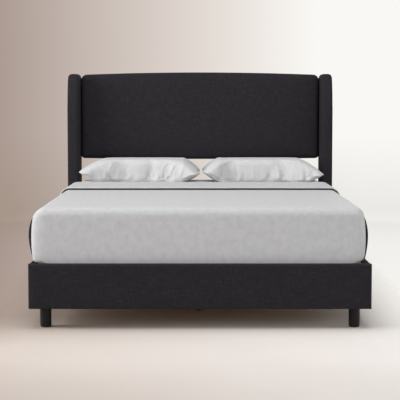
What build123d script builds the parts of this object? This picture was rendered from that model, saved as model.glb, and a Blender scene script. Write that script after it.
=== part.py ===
from build123d import *
from math import atan2, cos, degrees, pi
import os

os.makedirs("parts", exist_ok=True)

# An upholstered wingback bed for a 1524 by 2032 mm mattress, in millimetres.
# X runs across the bed, +Y towards the headboard and +Z up from the floor.
# The origin is on the floor, under the middle of the bed.

# The mattress that the bed is made around, and the room that it has at its ends
mattress_width = 1524
mattress_length = 2032
mattress_depth = 254
mattress_corner = 70
mattress_edge = 34
mattress_foot_gap = 12
mattress_head_gap = 13

# Heights
headboard_height = 1247
leg_height = 95
rail_height = 210

# Fits
fit_gap = 0.3
overrun = 10

# Upholstered rails: fabric, foam over the show face and the top, and a board
fabric = 1.5
rail_foam = 10
rail_top_foam = 5
rail_board = 25
rail_edge = 8
return_top = 20
return_bottom = 30

# Lower head rail
head_rail_thickness = 40
head_rail_edge = 5
head_rail_setback = 120

# Wings
wing_gap = 6
wing_drop = 15
wing_thickness = 70
wing_depth = 230
wing_curve_run = 100
wing_curve_rise = 280
wing_shoulder_radius = 60
wing_back_corner = 24
wing_edge = 18
wing_side_foam = 12
wing_front_foam = 25
wing_back_foam = 3
wing_block_height = 215

# Headboard panel
panel_thickness = 85
panel_bottom = 684
panel_crown_rise = 20
panel_bottom_bow = 6
panel_top_corner = 48
panel_bottom_corner = 24
panel_roll = 22
panel_front_foam = 40
panel_edge_foam = 12
panel_board = 12
panel_member = 60
panel_post = 80
panel_bolt_shares = (0.25, 0.75)
head_rail_bolt_shares = (0.28, 0.72)
back_return = 18

# Slatted deck
deck_drop = 3
slat_width = 90
slat_thickness = 20
slat_end_gap = 3.5
slat_count = 13
first_slat_setback = 100
last_slat_setback = 175
slat_edge = 3
ledger_size = 38
ledger_chamfer = 3
beam_width = 40
beam_height = 60
hanger_steel = 2.5
hanger_length = 40
hanger_ear = 26
centre_leg_radius = 19
centre_leg_count = 3
first_centre_leg_setback = 500
last_centre_leg_setback = 470
centre_glide_height = 6
centre_glide_radius = 17

# Legs and their fittings
leg_top_radius = 27
leg_foot_radius = 26
leg_foot_edge = 2
glide_radius = 24
glide_height = 4
glide_edge = 1
front_leg_inset = 72
rear_leg_inset = 65
leg_bolt_radius = 4
leg_bolt_reach = 32
insert_radius = 6
insert_length = 14
corner_block_side = 110
corner_block_height = 45
corner_block_cut = 50

# Corner brackets and bolts
bracket_side = 60
bracket_steel = 3
bracket_height = 85
bracket_lift = 55
bracket_bolt_reach = 40
bracket_bolt_shares = (0.25, 0.75)
bolt_radius = 3
bolt_head_radius = 6
bolt_head = 4
bracket_bolt_length = 24
cross_bolt_radius = 4
cross_bolt_head_radius = 8
cross_bolt_head = 6
cross_bolt_bite = 45

# Rail hooks
hook_plate_width = 16
hook_plate_height = 130
hook_plate_steel = 3
hook_plate_lift = 25
hook_steel = 4
hook_tongue = 22
hook_drop = 10
hook_nose = 5
hook_height_shares = (0.2, 0.68)

# Sheet and coverlet
sheet_thickness = 1.2
sheet_hem_lift = 14
coverlet_thickness = 7
coverlet_loft = 0.5
coverlet_edge = 38
bare_sheet_length = 536
coverlet_fold_thickness = 8
coverlet_fold_length = 438
coverlet_hem_lift = 3
coverlet_tuck = 12
foot_panel_wrap = 66
foot_panel_lean = 10
foot_panel_overhang = 16
side_drop_lean = 25
side_drop_overhang = 36
piping_radius = 4
corner_piping_start_share = 0.24

# Pillows
pillow_depth = 482
pillow_gap = 3
pillow_side_gap = 12.5
pillow_head_gap = 12
pillow_seam_height = 52
pillow_crown = 99
pillow_belly = 74
pillow_waist_share = 0.965
pillow_tip_share = 0.05
pillow_spans = 12
pillow_blunt_power = 3.2
pillow_round_power = 0.75

# Places that follow from those sizes
rail_thickness = fabric + rail_foam + rail_board + fabric
bed_width = mattress_width + 2 * rail_thickness
overall_length = rail_thickness + mattress_foot_gap + mattress_length + mattress_head_gap + panel_thickness
foot_y = -overall_length / 2
head_y = overall_length / 2
rail_top = leg_height + rail_height
rail_inner_x = bed_width / 2 - rail_thickness
rail_inner_y = foot_y + rail_thickness
board_inner_x = rail_inner_x + fabric
board_inner_y = rail_inner_y - fabric
deck_top = rail_top - deck_drop
slat_bottom = deck_top - slat_thickness
wing_height = headboard_height - wing_drop
wing_front_y = head_y - wing_depth
wing_inner_x = mattress_width / 2 + wing_gap
wing_outer_x = wing_inner_x + wing_thickness
wing_middle_x = wing_inner_x + wing_thickness / 2
wing_block_top = leg_height + fabric + wing_block_height
rail_end_y = wing_front_y - fit_gap
head_rail_y = head_y - head_rail_setback
head_rail_height = deck_top - leg_height
head_rail_length = wing_inner_x - fit_gap
panel_front_y = head_y - panel_thickness
panel_half_width = wing_inner_x - fit_gap
board_inset = fabric + fit_gap + panel_edge_foam + fit_gap
member_depth = panel_thickness - fabric - panel_front_foam - panel_board - fabric
mattress_foot_y = rail_inner_y + mattress_foot_gap
mattress_head_y = mattress_foot_y + mattress_length
mattress_top = deck_top + mattress_depth
sheet_top = mattress_top + fit_gap + sheet_thickness
coverlet_top = sheet_top + coverlet_loft + coverlet_thickness
hem_z = rail_top + coverlet_hem_lift
LOW = (Align.CENTER, Align.CENTER, Align.MIN)
hands = ("left", "right")


def save(piece, name):
    """Label a finished piece and write it under its own name."""
    piece.part.label = name
    export_step(piece.part, f"parts/{name}.step")


def block(low, high, mode=Mode.ADD):
    """Add or cut a square block between its lowest and its highest corner."""
    low, high = Vector(*low), Vector(*high)
    size = high - low
    with Locations((low + high) / 2):
        Box(size.X, size.Y, size.Z, mode=mode)


def rod(start, towards, radius, length, mode=Mode.ADD):
    """Add or cut a round bar from a point, along a direction."""
    with Locations(Plane(origin=start, z_dir=towards)):
        Cylinder(radius, length, align=LOW, mode=mode)


def to_hand(hand):
    """Pieces are drawn on the right of the bed; the left ones are their mirror images."""
    if hand == "left":
        mirror(about=Plane.YZ, mode=Mode.REPLACE)


def foot_rail_layer(inset, edge):
    """The foot rail's outer form drawn in by an inset, with its show edges rounded."""
    with BuildPart() as layer:
        with BuildSketch(Plane.XY.offset(leg_height + inset)):
            with Locations((0, foot_y + inset)):
                Rectangle(bed_width - 2 * inset, rail_thickness - 2 * inset, align=(Align.CENTER, Align.MIN))
        extrude(amount=rail_height - 2 * inset)
        fillet(layer.faces().sort_by(Axis.Y)[0].edges(), edge)
    return layer.part


side_length = rail_end_y - rail_inner_y
bracket_bolt_end = bracket_bolt_length - bracket_steel
board_low_z = leg_height + fabric
board_high_z = rail_top - fabric - rail_top_foam
window_low_z = leg_height + return_bottom
window_high_z = rail_top - return_top


def bracket_bolt_run(radius, start, end, mode):
    """The right corner bracket's four bolts, or their holes, between two depths measured into the boards."""
    along_x = board_inner_x - bracket_bolt_reach
    along_y = board_inner_y + bracket_bolt_reach
    for share in bracket_bolt_shares:
        height = leg_height + bracket_lift + share * bracket_height
        rod((along_x, board_inner_y - start, height), (0, -1, 0), radius, end - start, mode)
        rod((board_inner_x + start, along_y, height), (1, 0, 0), radius, end - start, mode)


# Foot rail
foot_board_x = bed_width / 2 - fabric - rail_foam
with BuildPart() as foot_rail_board:
    block((-foot_board_x, foot_y + fabric + rail_foam, board_low_z),
          (foot_board_x, board_inner_y, board_high_z))
    bracket_bolt_run(bolt_radius + fit_gap, -overrun, bracket_bolt_end + fit_gap, Mode.SUBTRACT)
    split(bisect_by=Plane.YZ)
    mirror(about=Plane.YZ)
save(foot_rail_board, "foot_rail_board")

with BuildPart() as foot_rail_foam:
    add(foot_rail_layer(fabric, rail_edge))
    block((-foot_board_x, foot_y + fabric + rail_foam, leg_height),
          (foot_board_x, rail_inner_y, board_high_z),
          Mode.SUBTRACT)
save(foot_rail_foam, "foot_rail_foam")

with BuildPart() as foot_rail_cover:
    add(foot_rail_layer(0, rail_edge))
    add(foot_rail_layer(fabric, rail_edge - fabric), mode=Mode.SUBTRACT)
    block((-board_inner_x, board_inner_y - overrun, window_low_z),
          (board_inner_x, rail_inner_y + overrun, window_high_z), Mode.SUBTRACT)
save(foot_rail_cover, "foot_rail_cover")

# Hooks on the side rails' ends and the slotted plates that they drop into
hook_x = (board_inner_x + rail_board + wing_inner_x + fabric) / 2
hook_low_x = hook_x - hook_plate_width / 2
hook_high_x = hook_x + hook_plate_width / 2
hook_low_z = leg_height + hook_plate_lift
hook_high_z = hook_low_z + hook_plate_height
hook_tongues = [hook_low_z + share * hook_plate_height for share in hook_height_shares]
nose_y = wing_front_y + hook_plate_steel + fit_gap


def hook_space(clearance):
    """The space that the two tongues and noses need behind the slotted plate, with the way in above them."""
    with BuildPart() as space:
        for tongue_z in hook_tongues:
            block((hook_x - hook_steel / 2 - clearance, wing_front_y, tongue_z - hook_drop - clearance),
                  (hook_x + hook_steel / 2 + clearance, nose_y + hook_nose + clearance,
                   tongue_z + hook_tongue + hook_drop + clearance))
    return space.part


for hand in hands:
    with BuildPart() as side_rail_board:
        block((board_inner_x, rail_inner_y, board_low_z),
              (board_inner_x + rail_board, rail_end_y, board_high_z))
        block((hook_low_x - fit_gap, rail_end_y - hook_plate_steel, hook_low_z - fit_gap),
              (hook_high_x + fit_gap, rail_end_y + overrun, hook_high_z + fit_gap), Mode.SUBTRACT)
        bracket_bolt_run(bolt_radius + fit_gap, -overrun, bracket_bolt_end + fit_gap, Mode.SUBTRACT)
        to_hand(hand)
    save(side_rail_board, f"side_rail_board_{hand}")

    with BuildPart() as side_rail_foam:
        with BuildSketch(Plane.XZ.offset(-rail_inner_y)) as section:
            with Locations((board_inner_x, board_low_z)):
                Rectangle(rail_board + rail_foam, rail_height - 2 * fabric, align=Align.MIN)
            fillet(section.vertices().group_by(Axis.X)[-1], rail_edge)
            with Locations((board_inner_x, board_low_z)):
                Rectangle(rail_board, board_high_z - board_low_z, align=Align.MIN, mode=Mode.SUBTRACT)
        extrude(amount=-side_length)
        to_hand(hand)
    save(side_rail_foam, f"side_rail_foam_{hand}")

    with BuildPart() as side_rail_cover:
        with BuildSketch(Plane.XZ.offset(-rail_inner_y)) as section:
            with Locations((rail_inner_x, leg_height)):
                Rectangle(rail_thickness, rail_height, align=Align.MIN)
            fillet(section.vertices().group_by(Axis.X)[-1], rail_edge)
            offset(amount=-fabric, mode=Mode.SUBTRACT)
            with Locations((rail_inner_x - overrun, window_low_z)):
                Rectangle(fabric + overrun, window_high_z - window_low_z, align=Align.MIN,
                          mode=Mode.SUBTRACT)
        extrude(amount=-side_length)
        to_hand(hand)
    save(side_rail_cover, f"side_rail_cover_{hand}")

    with BuildPart() as ledger:
        block((board_inner_x - ledger_size, board_inner_y + fit_gap, slat_bottom - ledger_size),
              (board_inner_x, head_rail_y - fit_gap, slat_bottom))
        chamfer(ledger.edges().filter_by(Axis.Y).sort_by(Axis.X)[0], ledger_chamfer)
        to_hand(hand)
    save(ledger, f"ledger_{hand}")

with BuildPart() as rail_hooks:
    block((hook_low_x, rail_end_y - hook_plate_steel, hook_low_z), (hook_high_x, rail_end_y, hook_high_z))
    for tongue_z in hook_tongues:
        with BuildSketch(Plane.YZ.offset(hook_x - hook_steel / 2)):
            with BuildLine():
                Polyline(
                    (rail_end_y, tongue_z + hook_tongue),
                    (rail_end_y, tongue_z),
                    (nose_y, tongue_z),
                    (nose_y, tongue_z - hook_drop),
                    (nose_y + hook_nose, tongue_z - hook_drop + hook_nose),
                    (nose_y + hook_nose, tongue_z + hook_tongue),
                    close=True,
                )
            make_face()
        extrude(amount=hook_steel)
    mirror(about=Plane.YZ)
save(rail_hooks, "rail_hooks")

with BuildPart() as hook_plates:
    block((hook_low_x, wing_front_y, hook_low_z),
          (hook_high_x, wing_front_y + hook_plate_steel, hook_high_z))
    for tongue_z in hook_tongues:
        block((hook_x - hook_steel / 2 - fit_gap, wing_front_y - overrun, tongue_z - fit_gap),
              (hook_x + hook_steel / 2 + fit_gap, wing_front_y + overrun, tongue_z + hook_tongue + hook_drop),
              Mode.SUBTRACT)
    mirror(about=Plane.YZ)
save(hook_plates, "hook_plates")


# Lower head rail
def head_rail_section(inset, radius):
    """The head rail seen from the side, drawn in by its inset."""
    with BuildSketch(Plane.YZ.offset(-head_rail_length)) as section:
        with Locations((head_rail_y + inset, leg_height + inset)):
            Rectangle(head_rail_thickness - 2 * inset, head_rail_height - 2 * inset, align=Align.MIN)
        fillet(section.vertices(), radius)
    return section.sketch


# Bolts along X from each wing: two into the panel's stile and two into the head rail
panel_bolt_y = head_y - fabric - member_depth / 2
panel_side_height = headboard_height - panel_crown_rise - panel_bottom
panel_bolt_heights = [panel_bottom + share * panel_side_height for share in panel_bolt_shares]
head_bolt_y = head_rail_y + head_rail_thickness / 2
head_bolt_heights = [leg_height + share * head_rail_height for share in head_rail_bolt_shares]
core_outer_x = wing_outer_x - fabric - wing_side_foam
block_outer_x = wing_outer_x - fabric
cross_bolts = [(core_outer_x, panel_bolt_y, height) for height in panel_bolt_heights]
cross_bolts += [(block_outer_x, head_bolt_y, height) for height in head_bolt_heights]


def bolt_run(clearance, mode):
    """The right wing's four bolts, or their holes when they get a clearance."""
    for head_x, along, height in cross_bolts:
        length = head_x - wing_inner_x + cross_bolt_bite
        start = (head_x, along, height)
        rod(start, (-1, 0, 0), cross_bolt_head_radius + clearance, cross_bolt_head + clearance, mode)
        rod(start, (-1, 0, 0), cross_bolt_radius + clearance, length + clearance, mode)


def both_bolt_runs():
    """The holes for the bolts of both wings."""
    with BuildPart() as holes:
        bolt_run(fit_gap, Mode.ADD)
        mirror(about=Plane.YZ)
    return holes.part


with BuildPart() as head_rail_board:
    extrude(head_rail_section(fabric, head_rail_edge), amount=2 * head_rail_length)
    add(both_bolt_runs(), mode=Mode.SUBTRACT)
save(head_rail_board, "head_rail_board")

with BuildPart() as head_rail_cover:
    extrude(head_rail_section(0, head_rail_edge), amount=2 * head_rail_length)
    extrude(head_rail_section(fabric, head_rail_edge - fabric), amount=2 * head_rail_length,
            mode=Mode.SUBTRACT)
save(head_rail_cover, "head_rail_cover")

with BuildPart() as wing_bolts:
    bolt_run(0, Mode.ADD)
    mirror(about=Plane.YZ)
save(wing_bolts, "wing_bolts")


# Wings
def wing_layer(side, front, top, back, bottom, edge):
    """The wing seen from the side, drawn in by its insets, with its long edges rounded.

    Its front leans back along one long arc that runs smoothly into a tighter one at the top.
    """
    front_y = wing_front_y + front
    back_y = head_y - back
    top_z = wing_height - top
    bottom_z = leg_height + bottom
    run = wing_curve_run - front
    rise = wing_curve_rise - top
    tight = wing_shoulder_radius - top
    long = (run**2 + (rise - tight) ** 2 - tight**2) / (2 * (run - tight))
    long_angle = degrees(atan2(rise - tight, long - run))
    with BuildPart() as layer:
        with BuildSketch(Plane.YZ.offset(wing_inner_x + side)) as outline:
            with BuildLine():
                lean = JernArc((front_y, top_z - rise), (0, 1), long, -long_angle)
                shoulder = JernArc(lean @ 1, lean % 1, tight, long_angle - 90)
                Polyline(shoulder @ 1, (back_y, top_z), (back_y, bottom_z), (front_y, bottom_z), lean @ 0)
            make_face()
            back_top = outline.vertices().group_by(Axis.Y)[-1].sort_by(Axis.X)[-1]
            fillet(back_top, wing_back_corner - top)
        extrude(amount=wing_thickness - 2 * side)
        if edge:
            flat_edges = layer.faces().filter_by(Axis.X).edges()
            fillet(flat_edges - flat_edges.group_by(Axis.Z)[0], edge)
    return layer.part


core_side = fabric + wing_side_foam
core_front = fabric + wing_front_foam
core_back = fabric + wing_back_foam
foam_inset = fabric + fit_gap
wing_leg_y = head_y - rear_leg_inset

for hand in hands:
    with BuildPart() as wing_core:
        add(wing_layer(fabric, fabric, fabric, fabric, fabric, wing_edge))
        block((wing_inner_x, wing_front_y, wing_block_top), (wing_outer_x, head_y, wing_height),
              Mode.SUBTRACT)
        add(wing_layer(core_side, core_front, core_side, core_back, wing_block_height, 0))
        block((hook_low_x - fit_gap, wing_front_y, hook_low_z - fit_gap),
              (hook_high_x + fit_gap, wing_front_y + hook_plate_steel, hook_high_z + fit_gap), Mode.SUBTRACT)
        add(hook_space(hook_steel / 2), mode=Mode.SUBTRACT)
        bolt_run(fit_gap, Mode.SUBTRACT)
        under_block = (wing_middle_x, wing_leg_y, leg_height + fabric)
        rod(under_block, (0, 0, 1), insert_radius + fit_gap, leg_bolt_reach + fit_gap, Mode.SUBTRACT)
        to_hand(hand)
    save(wing_core, f"wing_core_{hand}")

    with BuildPart() as wing_foam:
        add(wing_layer(fabric, foam_inset, foam_inset, foam_inset, wing_block_height + fabric, wing_edge))
        inner = (core_side, core_front - fit_gap, core_side - fit_gap, core_back - fit_gap,
                 wing_block_height, 0)
        add(wing_layer(*inner), mode=Mode.SUBTRACT)
        bolt_run(fit_gap, Mode.SUBTRACT)
        to_hand(hand)
    save(wing_foam, f"wing_foam_{hand}")

    with BuildPart() as wing_cover:
        add(wing_layer(0, 0, 0, 0, 0, wing_edge))
        add(wing_layer(fabric, fabric, fabric, fabric, fabric, wing_edge - fabric), mode=Mode.SUBTRACT)
        block((hook_low_x - fit_gap, wing_front_y - overrun, hook_low_z - fit_gap),
              (hook_high_x + fit_gap, wing_front_y + overrun, hook_high_z + fit_gap), Mode.SUBTRACT)
        bolt_run(fit_gap, Mode.SUBTRACT)
        rod((wing_middle_x, wing_leg_y, leg_height - overrun), (0, 0, 1), leg_bolt_radius + fit_gap,
            2 * overrun, Mode.SUBTRACT)
        to_hand(hand)
    save(wing_cover, f"wing_cover_{hand}")


# Headboard panel
def panel_outline(plane_y, inset):
    """The panel seen from the front, drawn in by its inset, on a plane at the given depth."""
    half = panel_half_width - inset
    top_z = headboard_height - inset
    bottom_z = panel_bottom + inset
    with BuildSketch(Plane.XZ.offset(-plane_y)) as outline:
        with BuildLine():
            crown = ThreePointArc((-half, top_z - panel_crown_rise), (0, top_z),
                                  (half, top_z - panel_crown_rise))
            low = ThreePointArc((-half, bottom_z + panel_bottom_bow), (0, bottom_z),
                                (half, bottom_z + panel_bottom_bow))
            Line(crown @ 0, low @ 0)
            Line(crown @ 1, low @ 1)
        make_face()
        fillet(outline.vertices().group_by(Axis.Y)[-1], max(panel_top_corner - inset, fabric))
        fillet(outline.vertices().group_by(Axis.Y)[0], max(panel_bottom_corner - inset, fabric))
    return outline.sketch


def panel_layer(inset, front, back, roll):
    """A slab of the panel between two insets from its front and back, with a rolled front edge."""
    with BuildPart() as layer:
        extrude(panel_outline(head_y - back, inset), amount=panel_thickness - front - back)
        fillet(layer.faces().sort_by(Axis.Y)[0].edges(), roll)
    return layer.part


member_y = head_y - fabric
board_back_y = member_y - member_depth
with BuildPart() as headboard_frame:
    extrude(panel_outline(member_y, board_inset), amount=member_depth)
    inner_x = panel_half_width - board_inset - panel_member
    inner_low = panel_bottom + board_inset + panel_bottom_bow + panel_member
    inner_high = headboard_height - board_inset - panel_crown_rise - panel_member
    for side in (-1, 1):
        middle_x = side * (inner_x + panel_post / 2) / 2
        block((middle_x - (inner_x - panel_post / 2) / 2, board_back_y - overrun, inner_low),
              (middle_x + (inner_x - panel_post / 2) / 2, member_y + overrun, inner_high), Mode.SUBTRACT)
    for joint_z in (inner_low, inner_high):
        block((-panel_half_width, board_back_y - overrun, joint_z - fit_gap / 2),
              (panel_half_width, member_y + overrun, joint_z + fit_gap / 2), Mode.SUBTRACT)
    add(both_bolt_runs(), mode=Mode.SUBTRACT)
save(headboard_frame, "headboard_frame")

with BuildPart() as headboard_board:
    extrude(panel_outline(board_back_y, board_inset), amount=panel_board)
save(headboard_board, "headboard_board")

with BuildPart() as headboard_foam:
    add(panel_layer(foam_inset, fabric, fabric, panel_roll))
    extrude(panel_outline(head_y, board_inset - fit_gap), amount=fabric + member_depth + panel_board,
            mode=Mode.SUBTRACT)
    add(both_bolt_runs(), mode=Mode.SUBTRACT)
save(headboard_foam, "headboard_foam")

with BuildPart() as headboard_cover:
    add(panel_layer(0, 0, 0, panel_roll))
    add(panel_layer(fabric, fabric, fabric, panel_roll - fabric), mode=Mode.SUBTRACT)
    extrude(panel_outline(head_y, back_return), amount=2 * fabric, mode=Mode.SUBTRACT)
    add(both_bolt_runs(), mode=Mode.SUBTRACT)
save(headboard_cover, "headboard_cover")

with BuildPart() as headboard_back_cloth:
    extrude(panel_outline(head_y, back_return + fit_gap), amount=fabric)
save(headboard_back_cloth, "headboard_back_cloth")

# Slatted deck
first_slat_y = foot_y + first_slat_setback
slat_pitch = (head_y - last_slat_setback - first_slat_y) / (slat_count - 1)
slat_length = 2 * (board_inner_x - slat_end_gap)
for number in range(slat_count):
    with BuildPart() as slat:
        with BuildSketch(Plane.YZ.offset(-slat_length / 2)):
            with Locations((first_slat_y + number * slat_pitch, slat_bottom)):
                RectangleRounded(slat_width, slat_thickness, slat_edge, align=(Align.CENTER, Align.MIN))
        extrude(amount=slat_length)
    save(slat, f"slat_{number + 1:02d}")

beam_low_z = slat_bottom - beam_height
with BuildPart() as centre_beam:
    block((-beam_width / 2, board_inner_y + hanger_steel + fit_gap, beam_low_z),
          (beam_width / 2, head_rail_y - hanger_steel - fit_gap, slat_bottom))
save(centre_beam, "centre_beam")


def beam_hanger(wall_y, inwards):
    """A folded steel stirrup on a rail's inner face: two ears on the rail and a trough for the beam."""
    trough_x = beam_width / 2 + fit_gap
    with BuildPart() as hanger:
        with BuildSketch(Plane.XZ.offset(-wall_y)):
            with Locations((0, beam_low_z - hanger_steel)):
                Rectangle(2 * (trough_x + hanger_steel), beam_height + hanger_steel,
                          align=(Align.CENTER, Align.MIN))
            with Locations((0, beam_low_z)):
                Rectangle(2 * trough_x, beam_height, align=(Align.CENTER, Align.MIN), mode=Mode.SUBTRACT)
        extrude(amount=-inwards * hanger_length)
        with BuildSketch(Plane.XZ.offset(-wall_y)):
            with Locations((0, beam_low_z - hanger_steel)):
                Rectangle(2 * (trough_x + hanger_ear), beam_height + hanger_steel,
                          align=(Align.CENTER, Align.MIN))
            with GridLocations(2 * trough_x + hanger_ear, beam_height / 2, 2, 2):
                with Locations((0, beam_low_z + beam_height / 2)):
                    Circle(bolt_radius, mode=Mode.SUBTRACT)
        extrude(amount=-inwards * hanger_steel)
    return hanger.part


with BuildPart() as beam_hangers:
    add(beam_hanger(board_inner_y, 1))
    add(beam_hanger(head_rail_y, -1))
save(beam_hangers, "beam_hangers")

first_leg_y = foot_y + first_centre_leg_setback
centre_leg_pitch = (head_rail_y - last_centre_leg_setback - first_leg_y) / (centre_leg_count - 1)
centre_leg_places = [(0, first_leg_y + number * centre_leg_pitch) for number in range(centre_leg_count)]
with BuildPart() as centre_legs:
    with BuildSketch(Plane.XY.offset(centre_glide_height)):
        with Locations(*centre_leg_places):
            Circle(centre_leg_radius)
    extrude(amount=beam_low_z - centre_glide_height)
save(centre_legs, "centre_legs")


# Corner blocks, brackets and legs
front_leg_x = bed_width / 2 - front_leg_inset
front_leg_y = foot_y + front_leg_inset
front_leg_top = (front_leg_x, front_leg_y, leg_height)
rear_leg_top = (wing_middle_x, wing_leg_y, leg_height)
leg_tops = {"front": front_leg_top, "rear": rear_leg_top}

with BuildPart() as corner_blocks:
    with BuildSketch(Plane.XY.offset(leg_height)) as plan:
        with Locations((rail_inner_x, rail_inner_y)):
            Rectangle(corner_block_side, corner_block_side, align=(Align.MAX, Align.MIN))
        chamfer(plan.vertices().group_by(Axis.X)[0].sort_by(Axis.Y)[-1], corner_block_cut)
    extrude(amount=corner_block_height)
    rod(front_leg_top, (0, 0, 1), insert_radius + fit_gap, leg_bolt_reach + fit_gap, Mode.SUBTRACT)
    mirror(about=Plane.YZ)
save(corner_blocks, "corner_blocks")

with BuildPart() as corner_brackets:
    with BuildSketch(Plane.XY.offset(leg_height + bracket_lift)):
        with Locations((board_inner_x, board_inner_y)):
            Rectangle(bracket_side, bracket_side, align=(Align.MAX, Align.MIN))
        with Locations((board_inner_x - bracket_steel, board_inner_y + bracket_steel)):
            Rectangle(bracket_side, bracket_side, align=(Align.MAX, Align.MIN), mode=Mode.SUBTRACT)
    extrude(amount=bracket_height)
    bracket_bolt_run(bolt_radius + fit_gap, -overrun, overrun, Mode.SUBTRACT)
    mirror(about=Plane.YZ)
save(corner_brackets, "corner_brackets")

with BuildPart() as bracket_bolts:
    bracket_bolt_run(bolt_radius, -bracket_steel, bracket_bolt_end, Mode.ADD)
    bracket_bolt_run(bolt_head_radius, -bracket_steel - bolt_head, -bracket_steel, Mode.ADD)
    mirror(about=Plane.YZ)
save(bracket_bolts, "bracket_bolts")

for place, top in leg_tops.items():
    for hand in hands:
        with BuildPart() as leg:
            with BuildSketch(Plane.XY.offset(glide_height)):
                with Locations(top[:2]):
                    Circle(leg_foot_radius)
            with BuildSketch(Plane.XY.offset(leg_height)):
                with Locations(top[:2]):
                    Circle(leg_top_radius)
            loft()
            chamfer(leg.faces().sort_by(Axis.Z)[0].edges(), leg_foot_edge)
            rod(top, (0, 0, -1), leg_bolt_radius + fit_gap, leg_bolt_reach + fit_gap, Mode.SUBTRACT)
            to_hand(hand)
        save(leg, f"{place}_leg_{hand}")

with BuildPart() as leg_bolts:
    for top in leg_tops.values():
        rod(Vector(*top) - (0, 0, leg_bolt_reach), (0, 0, 1), leg_bolt_radius, 2 * leg_bolt_reach)
    mirror(about=Plane.YZ)
save(leg_bolts, "leg_bolts")

with BuildPart() as leg_inserts:
    for top, base_z in ((front_leg_top, leg_height), (rear_leg_top, leg_height + fabric)):
        base = (top[0], top[1], base_z)
        rod(base, (0, 0, 1), insert_radius, insert_length)
        rod(base, (0, 0, 1), leg_bolt_radius + fit_gap, insert_length, Mode.SUBTRACT)
    mirror(about=Plane.YZ)
save(leg_inserts, "leg_inserts")

with BuildPart() as glides:
    for top in leg_tops.values():
        rod((top[0], top[1], 0), (0, 0, 1), glide_radius, glide_height)
    mirror(about=Plane.YZ)
    for along in centre_leg_places:
        rod((0, along[1], 0), (0, 0, 1), centre_glide_radius, centre_glide_height)
    chamfer(glides.faces().group_by(Axis.Z)[0].edges(), glide_edge)
save(glides, "glides")


# Mattress and bedding
def slab(inset, bottom_z, top_z, bottom_edge):
    """A slab with the mattress's rounded plan, drawn in by an inset, and with rolled edges."""
    middle_y = mattress_foot_y + mattress_length / 2
    with BuildPart() as layer:
        with BuildSketch(Plane.XY.offset(bottom_z)):
            with Locations((0, middle_y)):
                RectangleRounded(mattress_width - 2 * inset, mattress_length - 2 * inset,
                                 mattress_corner - inset)
        extrude(amount=top_z - bottom_z)
        fillet(layer.faces().sort_by(Axis.Z)[-1].edges(), mattress_edge - inset)
        if bottom_edge:
            fillet(layer.faces().sort_by(Axis.Z)[0].edges(), bottom_edge)
    return layer.part


with BuildPart() as mattress:
    add(slab(0, deck_top, mattress_top, mattress_edge))
save(mattress, "mattress")

with BuildPart() as fitted_sheet:
    sheet_low_z = deck_top + mattress_edge + sheet_hem_lift
    add(slab(-fit_gap - sheet_thickness, sheet_low_z, sheet_top, 0))
    add(slab(-fit_gap, sheet_low_z - overrun, mattress_top + fit_gap, 0), mode=Mode.SUBTRACT)
save(fitted_sheet, "fitted_sheet")

coverlet_foot_y = mattress_foot_y - fit_gap - sheet_thickness - coverlet_loft - coverlet_thickness
coverlet_head_y = mattress_head_y - bare_sheet_length
fold_hem_y = coverlet_head_y - coverlet_fold_length
foot_panel_back_y = coverlet_foot_y + foot_panel_wrap
foot_panel_hem = rail_inner_x + foot_panel_overhang
side_drop_hem = rail_inner_x + side_drop_overhang
shoulder_centre = (mattress_width / 2 - mattress_edge, mattress_top - mattress_edge)
shoulder_radius = coverlet_top - shoulder_centre[1]


def shoulder_point(grow, angle):
    """A point on the right shoulder's arc, seen from the foot."""
    return Vector(*shoulder_centre) + Vector(shoulder_radius + grow, 0).rotate(Axis.Z, angle)


def side_drop(grow, lean, hem_x):
    """The bowed side drop: it leaves the shoulder outwards by its lean and ends on the hem line."""
    return Edge.make_tangent_arc(shoulder_point(grow, lean), Vector(0, -1).rotate(Axis.Z, lean),
                                 Vector(hem_x + grow, hem_z))


def flat(*points):
    """Points of a drawing as pairs, to be placed by the drawing's plane."""
    return [(point.X, point.Y) for point in points]


def half_drape(grow, lean, hem_x):
    """The right half of the draped form, from the middle of its top to its hem."""
    drop = side_drop(grow, lean, hem_x)
    middle = (0, shoulder_centre[1] + shoulder_radius + grow)
    shoulder = flat(*(shoulder_point(grow, angle) for angle in (90, (90 + lean) / 2, lean)))
    Line(middle, shoulder[0])
    ThreePointArc(*shoulder)
    ThreePointArc(*flat(drop @ 0, drop @ 0.5, drop @ 1))


def drape(plane_y, grow, lean, hem_x):
    """The bedding seen from the foot: flat top, rounded shoulders, bowed drops, filled down to the hem."""
    with BuildSketch(Plane.XZ.offset(-plane_y)) as outline:
        with BuildLine():
            half_drape(grow, lean, hem_x)
            Line((hem_x + grow, hem_z), (0, hem_z))
            mirror(about=Plane.YZ)
        make_face()
    return outline.sketch


def drape_layer(from_y, to_y, grow, lean, hem_x, foot_edge):
    """A length of the draped form, with a rounded edge at its foot end if it has one."""
    with BuildPart() as layer:
        extrude(drape(to_y, grow, lean, hem_x), amount=to_y - from_y)
        if foot_edge:
            front = layer.faces().sort_by(Axis.Y)[0].edges()
            fillet(front - front.group_by(Axis.Z)[0], foot_edge)
    return layer.part


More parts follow.
